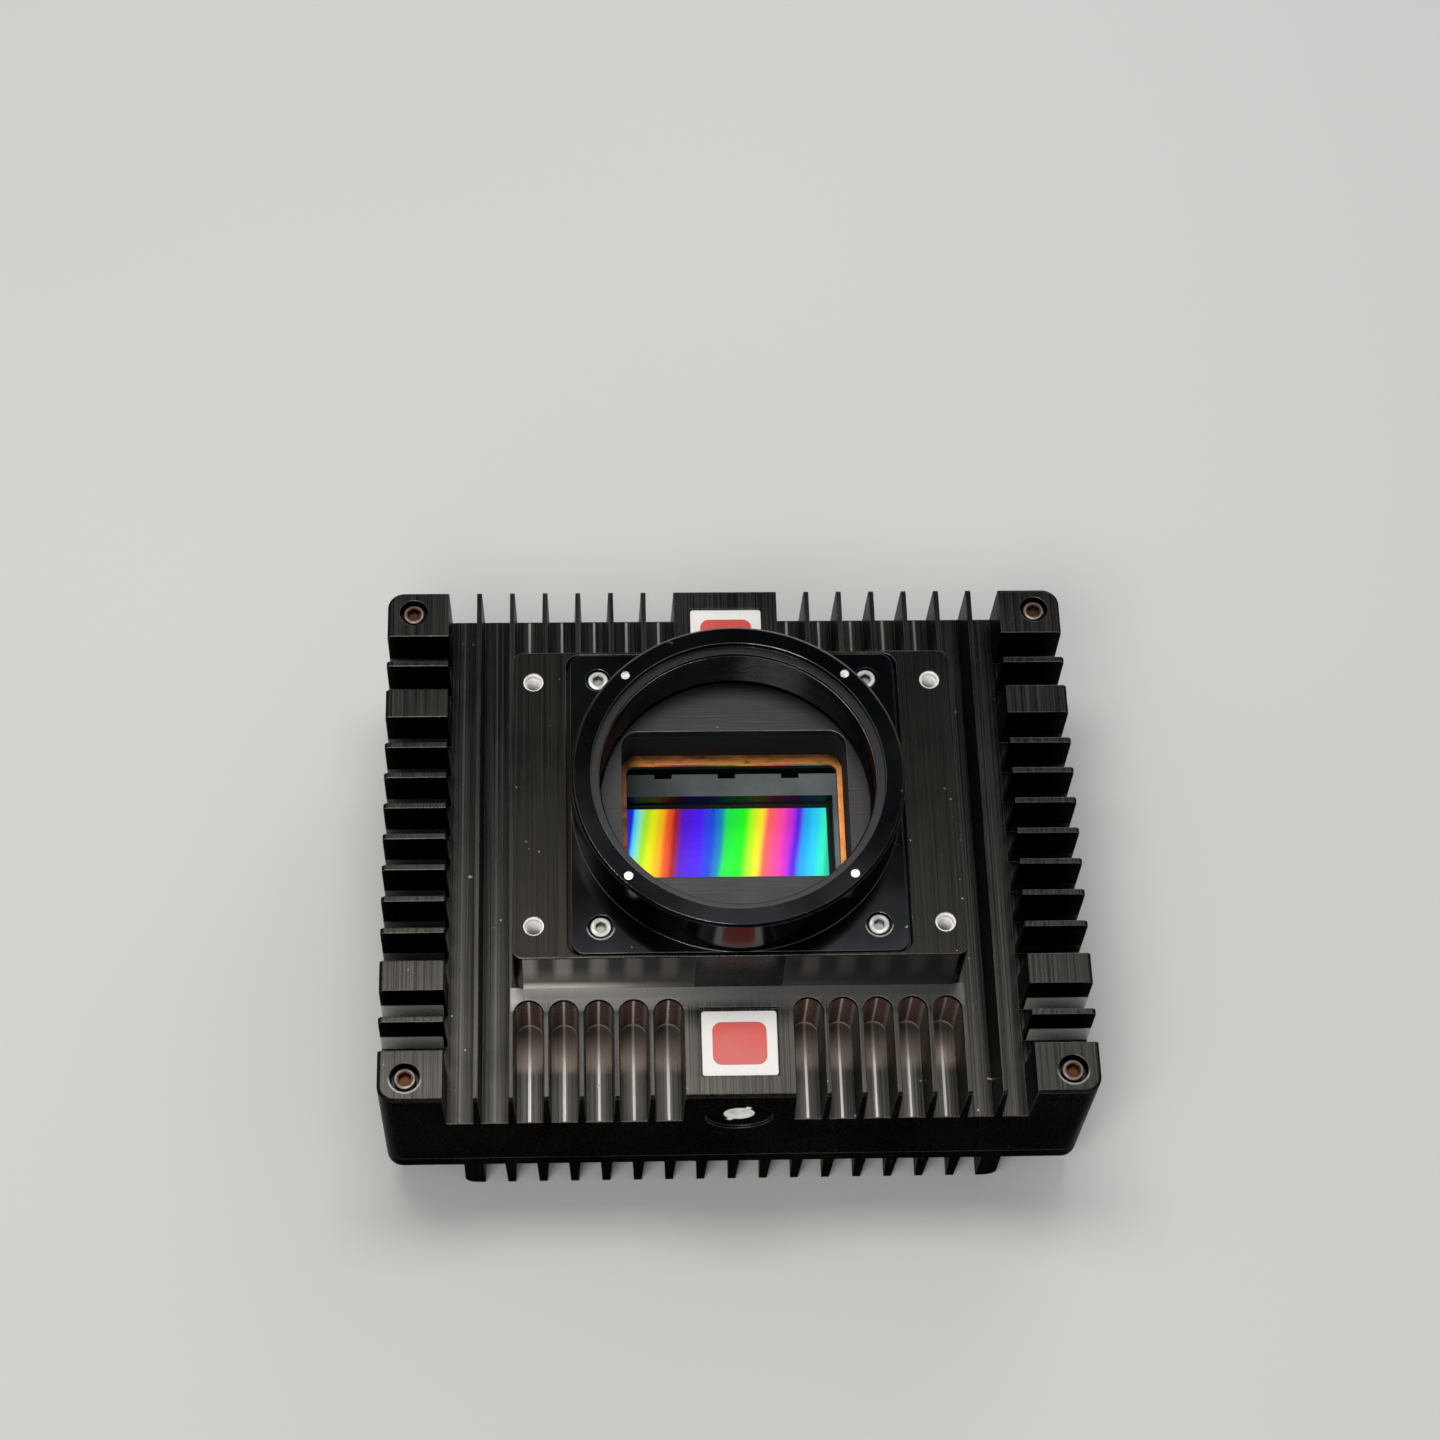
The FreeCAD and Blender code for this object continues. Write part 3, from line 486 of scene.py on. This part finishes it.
def screw_finish(name, xy, socket_r, rim, socket):
    """Steel screw heads: a bright turned rim round a darker socket; the socket's darkness is painted shade in the
    recess, and the corner screws' brown there is a stain.
    """
    finish = turned_metal(name, rim, 0.42)
    tree = finish.node_tree
    own_look(tree, ring_mask(tree, xy[0] * MM, xy[1] * MM, -1.0, socket_r), socket, 0.45)
    return finish


def front_wall_painted_light(finish, half_x, wall_y):
    """Painted light on the wall that faces the short slots: painted reflections in bars, one to a slot, most at the
    left and along its foot.
    """
    tree = finish.node_tree
    split = split_place(tree)
    across = calculate(tree, "ABSOLUTE", split, out=0)
    here = times(tree, spread(tree, split, wall_y + 0.0003, wall_y + 0.0001, 0.0, 1.0, 1),
                 between(tree, across, LABEL_SIDE_X, half_x), spread(tree, split, 0.0825, 0.0820, 0.0, 1.0, 2))
    off_centre = calculate(tree, "PINGPONG", split, value=SLOT_PITCH / 2, out=0)
    bars = times(tree, spread(tree, off_centre, 0.003, 0.0012, 0.0, 1.0),
                 spread(tree, split, 0.067, 0.074, 0.0, 1.0, 2))
    foot = times(tree, spread(tree, split, 0.0675, 0.0645, 0.0, 1.0, 2),
                 spread(tree, split, -0.034, -0.014, 1.0, 0.2, 0))
    glow = spread(tree, split, 0.077, 0.069, 0.05, 0.16, 2)
    light = calculate(tree, "ADD", calculate(tree, "MULTIPLY", bars, value=0.3), calculate(tree, "ADD", foot, glow))
    sides = shade_ramp(tree, spread(tree, split, -half_x, half_x, 0.0, 1.0, 0), WALL_PAINTED_LIGHT, (1.0, 0.93, 0.84))
    shine = node(tree, "ShaderNodeVectorMath", operation="SCALE")
    wire(tree, sides, shine.inputs[0])
    wire(tree, light, shine.inputs["Scale"])
    own_look(tree, here, shine.outputs["Vector"], 0.5, metallic=OFF_METAL)


def matt_inside(finish, half_x, half_y, colour, roughness):
    """Inside an upright rectangular well, the walls are left rough and take their own colour."""
    tree = finish.node_tree
    split = split_place(tree)
    reaches = [(calculate(tree, "ABSOLUTE", split, out=out), half) for out, half in ((0, half_x), (1, half_y))]
    sides = [spread(tree, reach, half, half - 0.0002, 0.0, 1.0) for reach, half in reaches]
    own_look(tree, times(tree, *sides), colour, roughness)


# ---- Finishes ----------------------------------------------------------------------------------
ALONG_Y = (2600.0, 10.0, 2600.0)
HOUSING_BLACK = anodised("housing_black_anodised", (0.0115, 0.011, 0.0102), (0.036, 0.0345, 0.0318), 0.3, (0.24, 0.36),
                         ALONG_Y, slots=True)
PLATFORM_BLACK = anodised("platform_black_anodised", (0.0085, 0.0081, 0.0073), (0.0165, 0.0153, 0.0136), 0.3,
                          (0.25, 0.36), ALONG_Y, edge_wear_and_highlight=(0.36, 0.355, 0.345), edge=0.45 * MM, rim=1.0)
COVER_BLACK = anodised("cover_black_anodised", (0.012, 0.0115, 0.011), (0.026, 0.025, 0.0238), 0.34, (0.28, 0.42),
                       (2600.0, 10.0, 60.0))
MOUNT_BLACK = anodised("mount_black_anodised", (0.0062, 0.007, 0.008), (0.0098, 0.011, 0.0125), 0.15, (0.12, 0.17),
                       (25.0, 25.0, 2600.0), streak_depth=0.000004, edge_wear_and_highlight=(0.45, 0.46, 0.48), edge=0.3 * MM, rim=1.0)
# painted highlight on the mount's level step
lit_step(MOUNT_BLACK, low=0.0965, high=0.0973, colour=(0.024, 0.024, 0.0235), roughness=0.3)
crescent(MOUNT_BLACK, MOUNT_XY, inner=0.0031, outer=0.0036, z=0.0832)
crescent(HOUSING_BLACK, CORNER_XY, inner=0.0038, outer=0.0043, z=RIDGE_Z)
front_wall_painted_light(PLATFORM_BLACK, half_x=0.0552, wall_y=-0.0438)
matt_inside(PLATFORM_BLACK, half_x=0.0315, half_y=0.0225, colour=(0.03, 0.036, 0.042), roughness=0.85)
BAFFLE_GREY = anodised("baffle_satin_grey", (0.036, 0.038, 0.038), (0.047, 0.049, 0.049), 0.44, (0.42, 0.5),
                       (60.0, 1600.0, 1600.0), edge_wear_and_highlight=(0.4, 0.4, 0.39))
SPREADER_GREY = anodised("spreader_aluminium", (0.4, 0.4, 0.39), (0.55, 0.55, 0.54), 0.4, (0.3, 0.45),
                         (120.0, 1500.0, 1500.0), edge_wear_and_highlight=(0.7, 0.7, 0.7), rim=1.0)
STEEL = turned_metal("screw_steel", (0.62, 0.59, 0.55), 0.26)
CORNER_STEEL = screw_finish("corner_screw_steel", CORNER_XY, 0.0021, (0.19, 0.17, 0.155), (0.06, 0.027, 0.016))
MOUNT_STEEL = screw_finish("mount_screw_steel", MOUNT_XY, 0.0017, (0.48, 0.48, 0.46), (0.22, 0.22, 0.21))
INSERT_STEEL = turned_metal("insert_steel", (0.95, 0.94, 0.92), 0.45, metallic=0.3)
NICKEL = turned_metal("connector_nickel", (0.6, 0.59, 0.57), 0.22)
BRASS = turned_metal("standoff_brass", (0.66, 0.47, 0.22), 0.3)
GOLD = turned_metal("contact_gold", (0.85, 0.58, 0.22), 0.24)
RUBBER = moulded("seal_rubber", (0.012, 0.012, 0.012), 0.7)
CERAMIC = moulded("package_ceramic", (0.005, 0.005, 0.006), 0.5, shine=0.12)
INSULATOR = moulded("insulator_white", (0.72, 0.7, 0.65), 0.45)
CHIP = moulded("chip_black", (0.018, 0.018, 0.019), 0.5)
CONNECTOR = moulded("connector_black", (0.014, 0.014, 0.015), 0.5)
PAD = moulded("pad_grey", (0.22, 0.24, 0.26), 0.75)
BOARD = moulded("board_green", (0.003, 0.012, 0.006), 0.45, vary=0.3, shine=0.25)
LABEL_WHITE = moulded("label_white", (0.8, 0.79, 0.77), 0.38, grain=900.0, depth=0.000006, vary=0.03)
LABEL_RED = moulded("label_red_print", (0.62, 0.05, 0.035), 0.36, grain=900.0, depth=0.000006, vary=0.1)


def carrier_finish():
    """Machined top face in blue-grey, with the upright walls painted dark as shade."""
    finish = moulded("carrier_blue_grey", (0.3, 0.345, 0.355), 0.42, grain=1200.0, vary=0.18)
    tree = finish.node_tree
    shader = tree.nodes["Principled BSDF"]
    flats = shader.inputs["Base Color"].links[0].from_socket
    # painted shade: faces that do not face up are darkened
    level = spread(tree, split_normal(tree), 0.5, 0.9, 0.0, 1.0, 2)
    paint(tree, mix(tree, level, (0.006, 0.007, 0.008), flats))
    shader.inputs["Specular IOR Level"].default_value = 0.1
    return finish


def copper_shaded_left():
    """Copper with painted shade that darkens it towards the left side."""
    finish = turned_metal("copper_orange", (0.78, 0.31, 0.09), 0.36, ring_scale=1500.0, dirt=(0.2, 0.08, 0.03))
    tree = finish.node_tree
    bright = tree.nodes["Principled BSDF"].inputs["Base Color"].links[0].from_socket
    # painted shade on the left strip
    paint(tree, mix(tree, spread(tree, split_place(tree), -0.0275, -0.0245, 0.0, 1.0), (0.12, 0.05, 0.025), bright))
    return finish


def glass_finish():
    finish, tree, shader = new_finish("cover_glass", (0.3, 0.34, 0.36), 0.0, 0.04, Alpha=0.05)
    cloud = noise(tree, object_place(tree), 60.0, 3.0, 0.5)
    wire(tree, spread(tree, cloud, 0.3, 0.7, 0.02, 0.07), shader.inputs["Roughness"])
    finish.surface_render_method = "BLENDED"
    return finish


def light_finish():
    finish, tree, shader = new_finish("light_lens", (0.1, 0.5, 0.16), 0.0, 0.2)
    cloud = noise(tree, object_place(tree), 900.0, 2.0, 0.5)
    paint(tree, mix(tree, cloud, (0.07, 0.4, 0.12), (0.14, 0.6, 0.2)))
    wire(tree, spread(tree, cloud, 0.3, 0.7, 0.12, 0.24), shader.inputs["Roughness"])
    return finish


RAINBOW = [
    (0.000, (0.02, 0.02, 0.75)), (0.020, (0.10, 0.75, 0.95)), (0.042, (0.30, 0.90, 0.55)),
    (0.065, (0.42, 0.90, 0.03)), (0.105, (0.85, 0.92, 0.01)), (0.145, (0.98, 0.55, 0.01)),
    (0.185, (0.92, 0.10, 0.02)), (0.225, (0.35, 0.01, 0.03)), (0.260, (0.09, 0.005, 0.62)),
    (0.340, (0.07, 0.006, 0.90)), (0.405, (0.01, 0.06, 0.70)), (0.445, (0.005, 0.22, 0.50)),
    (0.480, (0.01, 0.75, 0.06)), (0.560, (0.01, 0.90, 0.01)), (0.610, (0.45, 0.92, 0.01)),
    (0.650, (0.98, 0.75, 0.02)), (0.690, (0.95, 0.12, 0.12)), (0.745, (0.95, 0.06, 0.32)),
    (0.790, (0.60, 0.02, 0.60)), (0.835, (0.08, 0.01, 0.75)), (0.875, (0.01, 0.38, 0.85)),
    (0.925, (0.02, 0.60, 0.90)), (0.975, (0.03, 0.88, 0.55)), (1.000, (0.02, 0.55, 0.35)),
]


def sensor_finish():
    """Bare silicon under its colour filter: bands of diffraction colours, painted into the colour, that run across the
    die and also glow as painted light.
    """
    low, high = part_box("sensor_die")
    finish, tree, shader = new_finish("silicon_rainbow", (0.1, 0.1, 0.1), 0.0, 0.25, Specular_IOR_Level=0.2)
    split = split_place(tree)
    along = spread(tree, split, low[0], high[0], 0.0, 1.0, 0)
    lean = spread(tree, split, low[1], high[1], -0.055, 0.03, 1)
    wave = noise(tree, object_place(tree, scale=(1.0, 0.6, 1.0)), 70.0, 1.0, 0.4)
    wobble = spread(tree, wave, 0.3, 0.7, -0.008, 0.008)
    shift = calculate(tree, "ADD", calculate(tree, "SUBTRACT", along, lean), wobble)
    bands = node(tree, "ShaderNodeValToRGB")
    ramp = bands.color_ramp
    ramp.interpolation = "EASE"
    ramp.elements[0].position, ramp.elements[1].position = RAINBOW[0][0], RAINBOW[-1][0]
    ramp.elements[0].color, ramp.elements[1].color = (*RAINBOW[0][1], 1), (*RAINBOW[-1][1], 1)
    for position, colour in RAINBOW[1:-1]:
        ramp.elements.new(position).color = (*colour, 1)
    wire(tree, shift, bands.inputs[0])
    wire(tree, bands, shader.inputs["Base Color"])
    # painted glow: the same bands are given off as light, though the die is no lamp
    wire(tree, bands, shader.inputs["Emission Color"])
    shader.inputs["Emission Strength"].default_value = 0.8
    rows = noise(tree, object_place(tree, scale=(60.0, 4000.0, 1.0)), 1.0, 2.0, 0.5)
    wire(tree, spread(tree, rows, 0.3, 0.7, 0.18, 0.3), shader.inputs["Roughness"])
    return finish


CARRIER_GREY = carrier_finish()
COPPER = copper_shaded_left()
GLASS = glass_finish()
LIGHT_LENS = light_finish()
SILICON = sensor_finish()

FINISHES = {
    "front_housing": HOUSING_BLACK, "lens_platform": PLATFORM_BLACK, "rear_cover": COVER_BLACK,
    "housing_gasket": RUBBER, "corner_screws": CORNER_STEEL, "lens_mount": MOUNT_BLACK,
    "mount_screws": MOUNT_STEEL, "rim_screws": STEEL, "mount_inserts": INSERT_STEEL,
    "tripod_insert": INSERT_STEEL, "front_label": LABEL_WHITE, "back_label": LABEL_WHITE,
    "sensor_baffle": BAFFLE_GREY, "copper_frame": COPPER, "sensor_carrier": CARRIER_GREY,
    "sensor_package": CERAMIC, "sensor_die": SILICON, "cover_glass": GLASS, "sensor_board": BOARD,
    "sensor_pad": PAD, "heat_spreader": SPREADER_GREY, "spreader_pads": PAD, "standoffs": BRASS,
    "stack_screws": STEEL, "board_connectors": CONNECTOR, "processor_board": BOARD, "processor_chips": CHIP,
    "chip_pads": PAD, "memory_chips": CHIP, "power_inductors": CHIP, "board_screws": STEEL,
    "coax_shells": NICKEL, "coax_insulators": INSULATOR, "coax_contacts": GOLD, "power_connector": NICKEL,
    "power_insulator": CONNECTOR, "power_contacts": GOLD, "status_light": LIGHT_LENS,
}
for name, cad in NODES.items():
    for place in cad.material_slots:
        place.material = FINISHES[name]


# ---- Machined bodies: the same shapes with their round faces shaded smoothly ---------------------
def smooth_copy(name, angle=24):
    """The CAD node's own shape as one closed mesh, with its facets merged into flats."""
    deselect_all()
    copy = NODES[name].copy()
    copy.data = NODES[name].data.copy()
    bpy.context.collection.objects.link(copy)
    copy.parent = None
    copy.matrix_world = Matrix.Identity(4)
    take(copy)
    bpy.ops.object.mode_set(mode="EDIT")
    bpy.ops.mesh.select_all(action="SELECT")
    bpy.ops.mesh.remove_doubles(threshold=0.00001)
    bpy.ops.mesh.customdata_custom_splitnormals_clear()
    bpy.ops.object.mode_set(mode="OBJECT")
    smooth(copy, angle)
    finish_piece(copy, name.replace("_", "-") + "-machined", FINISHES[name])
    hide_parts(name)
    return copy


smooth_copy("front_housing")
smooth_copy("lens_platform")
smooth_copy("rear_cover")
smooth_copy("lens_mount")
smooth_copy("sensor_baffle")


# ---- Screws ---------------------------------------------------------------------------------------
def socket_screw(head_r, head_top, head_h, flats, shank_r, end, round_over=0.35):
    """Hexagon socket screw at the origin: turned head with a rounded rim, countersunk socket, plain shank."""
    body = round_bar(head_r, head_top - head_h, head_top, sides=48)
    top_bevel(body, head_top, round_over, segments=4)
    settle(body)
    take(body)
    bpy.ops.object.mode_set(mode="EDIT")
    pick_faces(body, lambda c, n: n.z < -0.9)
    bpy.ops.mesh.inset(thickness=(head_r - shank_r) * MM)
    bpy.ops.mesh.extrude_region_move(TRANSFORM_OT_translate={"value": (0, 0, (end - head_top + head_h) * MM)})
    bpy.ops.object.mode_set(mode="OBJECT")
    depth = 0.55 * head_h
    deselect_all()
    bpy.ops.mesh.primitive_cone_add(vertices=36, radius1=flats * 0.35 * MM, radius2=flats * 0.66 * MM, depth=0.5 * MM,
                                    location=(0, 0, (head_top + 0.05) * MM))
    cut_with(body, bpy.context.object)
    key = round_bar(flats / math.sqrt(3), head_top - depth, head_top + 1.0, sides=6)
    cut_with(body, key)
    smooth(body, 32)
    return body


def four_places(x, y):
    return [(sx * x * MM, sy * y * MM, 0) for sx, sy in ((1, 1), (-1, 1), (-1, -1), (1, -1))]


low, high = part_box("corner_screws")
screw = socket_screw(head_r=2.85, head_top=high[2] / MM, head_h=3.5, flats=3.2, shank_r=1.75, end=low[2] / MM)
finish_piece(copy_at(screw, four_places(*CORNER_XY)), "corner-socket-screws", CORNER_STEEL)
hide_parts("corner_screws")
low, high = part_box("mount_screws")
screw = socket_screw(head_r=2.75, head_top=high[2] / MM, head_h=3.0, flats=2.5, shank_r=1.5, end=low[2] / MM)
finish_piece(copy_at(screw, four_places(*MOUNT_XY)), "mount-socket-screws", MOUNT_STEEL)
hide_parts("mount_screws")


# ---- Threads: a ridge turned up the bore ------------------------------------------------------------
def thread(bore_r, depth, pitch, low, high, steps):
    """Helical ridge on the wall of a bore round the origin's upright axis, in millimetres."""
    deselect_all()
    bpy.ops.mesh.primitive_circle_add(vertices=3, radius=1.0, fill_type="NOTHING", location=(0, 0, 0))
    ridge = bpy.context.object
    half = 0.42 * pitch
    corners = ((bore_r + 0.02, -half), (bore_r - depth, 0.0), (bore_r + 0.02, half))
    for vertex, (x, z) in zip(ridge.data.vertices, corners):
        vertex.co = Vector((x * MM, 0, (low + pitch / 2 + z) * MM))
    screw = ridge.modifiers.new("turn", "SCREW")
    screw.steps = screw.render_steps = steps
    screw.screw_offset = pitch * MM
    screw.iterations = max(1, int((high - low - pitch) / pitch))
    screw.use_merge_vertices = False
    screw.use_normal_calculate = True
    apply_modifiers(ridge)
    take(ridge)
    bpy.ops.object.mode_set(mode="EDIT")
    bpy.ops.mesh.select_all(action="SELECT")
    bpy.ops.mesh.fill_holes(sides=3)
    bpy.ops.mesh.normals_make_consistent(inside=False)
    bpy.ops.object.mode_set(mode="OBJECT")
    smooth(ridge, 30)
    return ridge


coil = thread(bore_r=35.6, depth=0.32, pitch=0.75, low=82.2, high=96.7, steps=120)
finish_piece(coil, "lens-thread", MOUNT_BLACK)
low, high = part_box("mount_inserts")
coil = thread(bore_r=2.1, depth=0.3, pitch=0.8, low=low[2] / MM + 0.3, high=high[2] / MM - 0.2, steps=24)
sleeve = round_bar(2.65, low[2] / MM, high[2] / MM, sides=40)
take(sleeve)
bpy.ops.object.mode_set(mode="EDIT")
pick_faces(sleeve, lambda c, n: abs(n.z) > 0.9)
bpy.ops.mesh.inset(thickness=0.2 * MM, use_individual=True)
bpy.ops.object.mode_set(mode="OBJECT")
settle(sleeve)
bore = round_bar(2.12, low[2] / MM - 1, high[2] / MM + 1, sides=40)
cut_with(sleeve, bore)
deselect_all()
bpy.ops.mesh.primitive_cone_add(vertices=40, radius1=2.0 * MM, radius2=2.75 * MM, depth=0.75 * MM,
                                location=(0, 0, high[2] - 0.1 * MM))
cut_with(sleeve, bpy.context.object)
smooth(sleeve, 30)
inserts = copy_at(join_pieces([sleeve, coil]), four_places(*INSERT_XY))
finish_piece(inserts, "threaded-inserts", INSERT_STEEL)
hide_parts("mount_inserts")
low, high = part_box("tripod_insert")
coil = thread(bore_r=2.6, depth=0.35, pitch=1.27, low=0.4, high=11.0, steps=32)
coil.rotation_euler = (math.radians(90), 0, 0)
coil.location = (0, high[1], TRIPOD_Z * MM)
finish_piece(coil, "tripod-thread", INSERT_STEEL)


# ---- Label prints: a plain red field on each white plate ------------------------------------------------
PRINT_SHARE = (0.72, 0.66)      # of the plate's width and depth


def label_print(node_name, name):
    low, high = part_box(node_name)
    middle = ((low[0] + high[0]) / 2, (low[1] + high[1]) / 2, high[2] + 0.02 * MM)
    deselect_all()
    bpy.ops.mesh.primitive_cube_add(size=1.0, location=middle)
    field = bpy.context.object
    field.scale = ((high[0] - low[0]) * PRINT_SHARE[0], (high[1] - low[1]) * PRINT_SHARE[1], 0.05 * MM)
    settle(field)
    take(field)
    bpy.ops.object.mode_set(mode="EDIT")
    bpy.ops.mesh.select_mode(type="EDGE")
    bpy.ops.mesh.select_all(action="DESELECT")
    bpy.ops.object.mode_set(mode="OBJECT")
    points = field.data.vertices
    for edge in field.data.edges:
        a, b = (points[i].co for i in edge.vertices)
        edge.select = abs(a.z - b.z) > 0.01 * MM
    bpy.ops.object.mode_set(mode="EDIT")
    bpy.ops.mesh.bevel(offset=2.4 * MM, segments=10, affect="EDGES")
    bpy.ops.object.mode_set(mode="OBJECT")
    smooth(field, 30)
    finish_piece(field, name, LABEL_RED)


label_print("front_label", "front-label-field")
label_print("back_label", "back-label-field")


# ---- Bond wires along the two long edges of the die ----------------------------------------------------
def bond_wires(count=46):
    low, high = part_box("sensor_die")
    foot, top, reach = high[1] - 0.45 * MM, high[2], 0.35 * MM
    deselect_all()
    bpy.ops.mesh.primitive_circle_add(vertices=4, radius=0.07 * MM, fill_type="NGON", location=(0, foot, top))
    strand = bpy.context.object
    settle(strand)
    take(strand)
    bpy.ops.object.mode_set(mode="EDIT")
    bpy.ops.mesh.select_all(action="SELECT")
    bpy.ops.mesh.spin(steps=7, angle=math.pi, center=(0, foot + reach, top), axis=(-1, 0, 0))
    bpy.ops.mesh.extrude_region_move(TRANSFORM_OT_translate={"value": (0, 0, -0.7 * MM)})
    bpy.ops.mesh.select_all(action="SELECT")
    bpy.ops.mesh.remove_doubles(threshold=1e-6)
    bpy.ops.mesh.normals_make_consistent(inside=False)
    bpy.ops.object.mode_set(mode="OBJECT")
    smooth(strand, 60)
    span = high[0] - low[0] - 3 * MM
    row = copy_at(strand, [(span * (k / (count - 1) - 0.5), 0, 0) for k in range(count)])
    settle(row)
    deselect_all()
    other = row.copy()
    other.data = row.data.copy()
    bpy.context.collection.objects.link(other)
    other.rotation_euler = (0, 0, math.pi)
    settle(other)
    finish_piece(join_pieces([row, other]), "bond-wires", GOLD)


bond_wires()


# ---- Rear connectors -------------------------------------------------------------------------------------
def turned(points, at, steps=48):
    """Solid turned about an upright axis from a closed ring of (radius, height) points in millimetres."""
    deselect_all()
    bpy.ops.mesh.primitive_circle_add(vertices=len(points), radius=1.0, fill_type="NOTHING", location=(0, 0, 0))
    piece = bpy.context.object
    for vertex, (r, z) in zip(piece.data.vertices, points):
        vertex.co = Vector((r * MM, 0, z * MM))
    take(piece)
    bpy.ops.object.mode_set(mode="EDIT")
    bpy.ops.mesh.select_all(action="SELECT")
    bpy.ops.mesh.spin(steps=steps, angle=2 * math.pi, center=(0, 0, 0), axis=(0, 0, 1))
    bpy.ops.mesh.select_all(action="SELECT")
    bpy.ops.mesh.remove_doubles(threshold=1e-6)
    bpy.ops.mesh.normals_make_consistent(inside=False)
    bpy.ops.object.mode_set(mode="OBJECT")
    piece.location = (at[0] * MM, at[1] * MM, 0)
    settle(piece)
    smooth(piece, 30)
    return piece


def hex_nut(flats, low, high, at):
    nut = round_bar(flats / math.sqrt(3), low, high, at, sides=6)
    nut.modifiers.new("edge", "BEVEL").width = 0.25 * MM
    nut.modifiers["edge"].segments = 2
    apply_modifiers(nut)
    settle(nut)
    smooth(nut, 30)
    return nut


def stud(r, length, at, z):
    """Locking stud that stands out from a connector barrel."""
    deselect_all()
    bpy.ops.mesh.primitive_cylinder_add(vertices=20, radius=r * MM, depth=length * MM, rotation=(0, math.pi / 2, 0),
                                        location=(at[0] * MM, at[1] * MM, z * MM))
    pin = bpy.context.object
    pin.modifiers.new("edge", "BEVEL").width = 0.2 * MM
    pin.modifiers["edge"].segments = 2
    apply_modifiers(pin)
    settle(pin)
    smooth(pin, 30)
    return pin


def shell_profile(r, bore_r, tip, back, floor, grooves):
    """Outline of a connector shell: mouth, grooved outside, closed back and plain bore."""
    points = [(0, floor), (bore_r, floor), (bore_r, tip + 0.4), (bore_r + 0.25, tip), (r - 0.3, tip), (r, tip + 0.3)]
    for z in grooves:
        points += [(r, z - 0.3), (r - 0.35, z - 0.12), (r - 0.35, z + 0.12), (r, z + 0.3)]
    return points + [(r, back), (0, back)]


BORE_FLOOR = 15.5
low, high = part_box("coax_shells")
profile = shell_profile(4.8, 3.9, low[2] / MM, high[2] / MM, BORE_FLOOR, [8.6, 9.4, 10.2, 11.0])
shells = []
for x in COAX_X:
    shells += [turned(profile, (x, COAX_Y)), hex_nut(11.0, 12.1, 14.5, (x, COAX_Y))]
    shells += [stud(0.9, 1.3, (x + side * 5.2, COAX_Y), 6.0) for side in (-1, 1)]
finish_piece(join_pieces(shells), "coax-barrels", NICKEL)
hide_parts("coax_shells")

low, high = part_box("power_connector")
profile = shell_profile(7.0, 5.7, low[2] / MM, high[2] / MM, BORE_FLOOR, [5.4, 6.2, 7.0, 7.8, 8.6])
collar = turned([(6.9, 12.5), (9.2, 12.5), (9.5, 12.8), (9.5, 14.5), (6.9, 14.5)], POWER_XY)
finish_piece(join_pieces([turned(profile, POWER_XY), collar]), "power-shell", NICKEL)
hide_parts("power_connector")


# ---- Floor, lights and camera --------------------------------------------------------------------------
def floor():
    deselect_all()
    bpy.ops.mesh.primitive_plane_add(size=40.0, location=(0, 0, 0))
    ground = bpy.context.object
    ground.name = "floor"
    finish, tree, shader = new_finish("pale_floor", (0.62, 0.62, 0.61), 0.0, 0.8, Specular_IOR_Level=0.1)
    cloud = noise(tree, object_place(tree), 3.0, 2.0, 0.5)
    paint(tree, mix(tree, cloud, (0.6, 0.6, 0.59), (0.64, 0.64, 0.63)))
    ground.data.materials.append(finish)


def softbox(name, at, aim, size, watts, colour=(1, 1, 1)):
    data = bpy.data.lights.new(name, "AREA")
    data.shape = "RECTANGLE"
    data.size, data.size_y = size
    data.energy = watts
    data.color = colour
    lamp = bpy.data.objects.new(name, data)
    bpy.context.collection.objects.link(lamp)
    lamp.location = at
    lamp.rotation_euler = (Vector(aim) - Vector(at)).to_track_quat("-Z", "Y").to_euler()
    return lamp


def area_watts(size, radiance):
    """Watts that give a rectangular area lamp this radiance."""
    return radiance * size[0] * size[1] * math.pi


floor()
OVERHEAD = (0.66, 0.3)
softbox("overhead", (-0.08, 0.23, 1.1), (-0.08, 0.23, 0.0), OVERHEAD, area_watts(OVERHEAD, 9.5), (1.0, 0.97, 0.93))
BACK = (1.2, 0.7)
softbox("back", (0.7, 1.6, 0.75), (0, 0, 0.04), BACK, area_watts(BACK, 3.0), (0.97, 0.98, 1.0))
FRONT = (0.55, 0.4)
softbox("front", (-0.28, -0.62, 1.05), (0, 0, 0.05), FRONT, area_watts(FRONT, 8.0), (1.0, 0.97, 0.93))

world = bpy.data.worlds.new("studio")
world.use_nodes = True
world.node_tree.nodes["Background"].inputs["Color"].default_value = (0.93, 0.96, 1.0, 1)
world.node_tree.nodes["Background"].inputs["Strength"].default_value = 0.3
bpy.context.scene.world = world

camera_data = bpy.data.cameras.new("camera")
camera_data.lens = 76.36
camera_data.sensor_width = camera_data.sensor_height = 36.0
camera = bpy.data.objects.new("camera", camera_data)
bpy.context.collection.objects.link(camera)
forward = Vector((0.04695, 0.46060, -0.88636)).normalized()
right = Vector((0.99887, -0.02864, 0.03803))
right = (right - forward * right.dot(forward)).normalized()
up = right.cross(forward)
turn = Matrix((right, up, -forward)).transposed().to_4x4()
camera.matrix_world = Matrix.Translation(Vector((-41.15, -346.13, 794.15)) * MM) @ turn
bpy.context.scene.camera = camera

bpy.context.scene.view_settings.view_transform = "Standard"
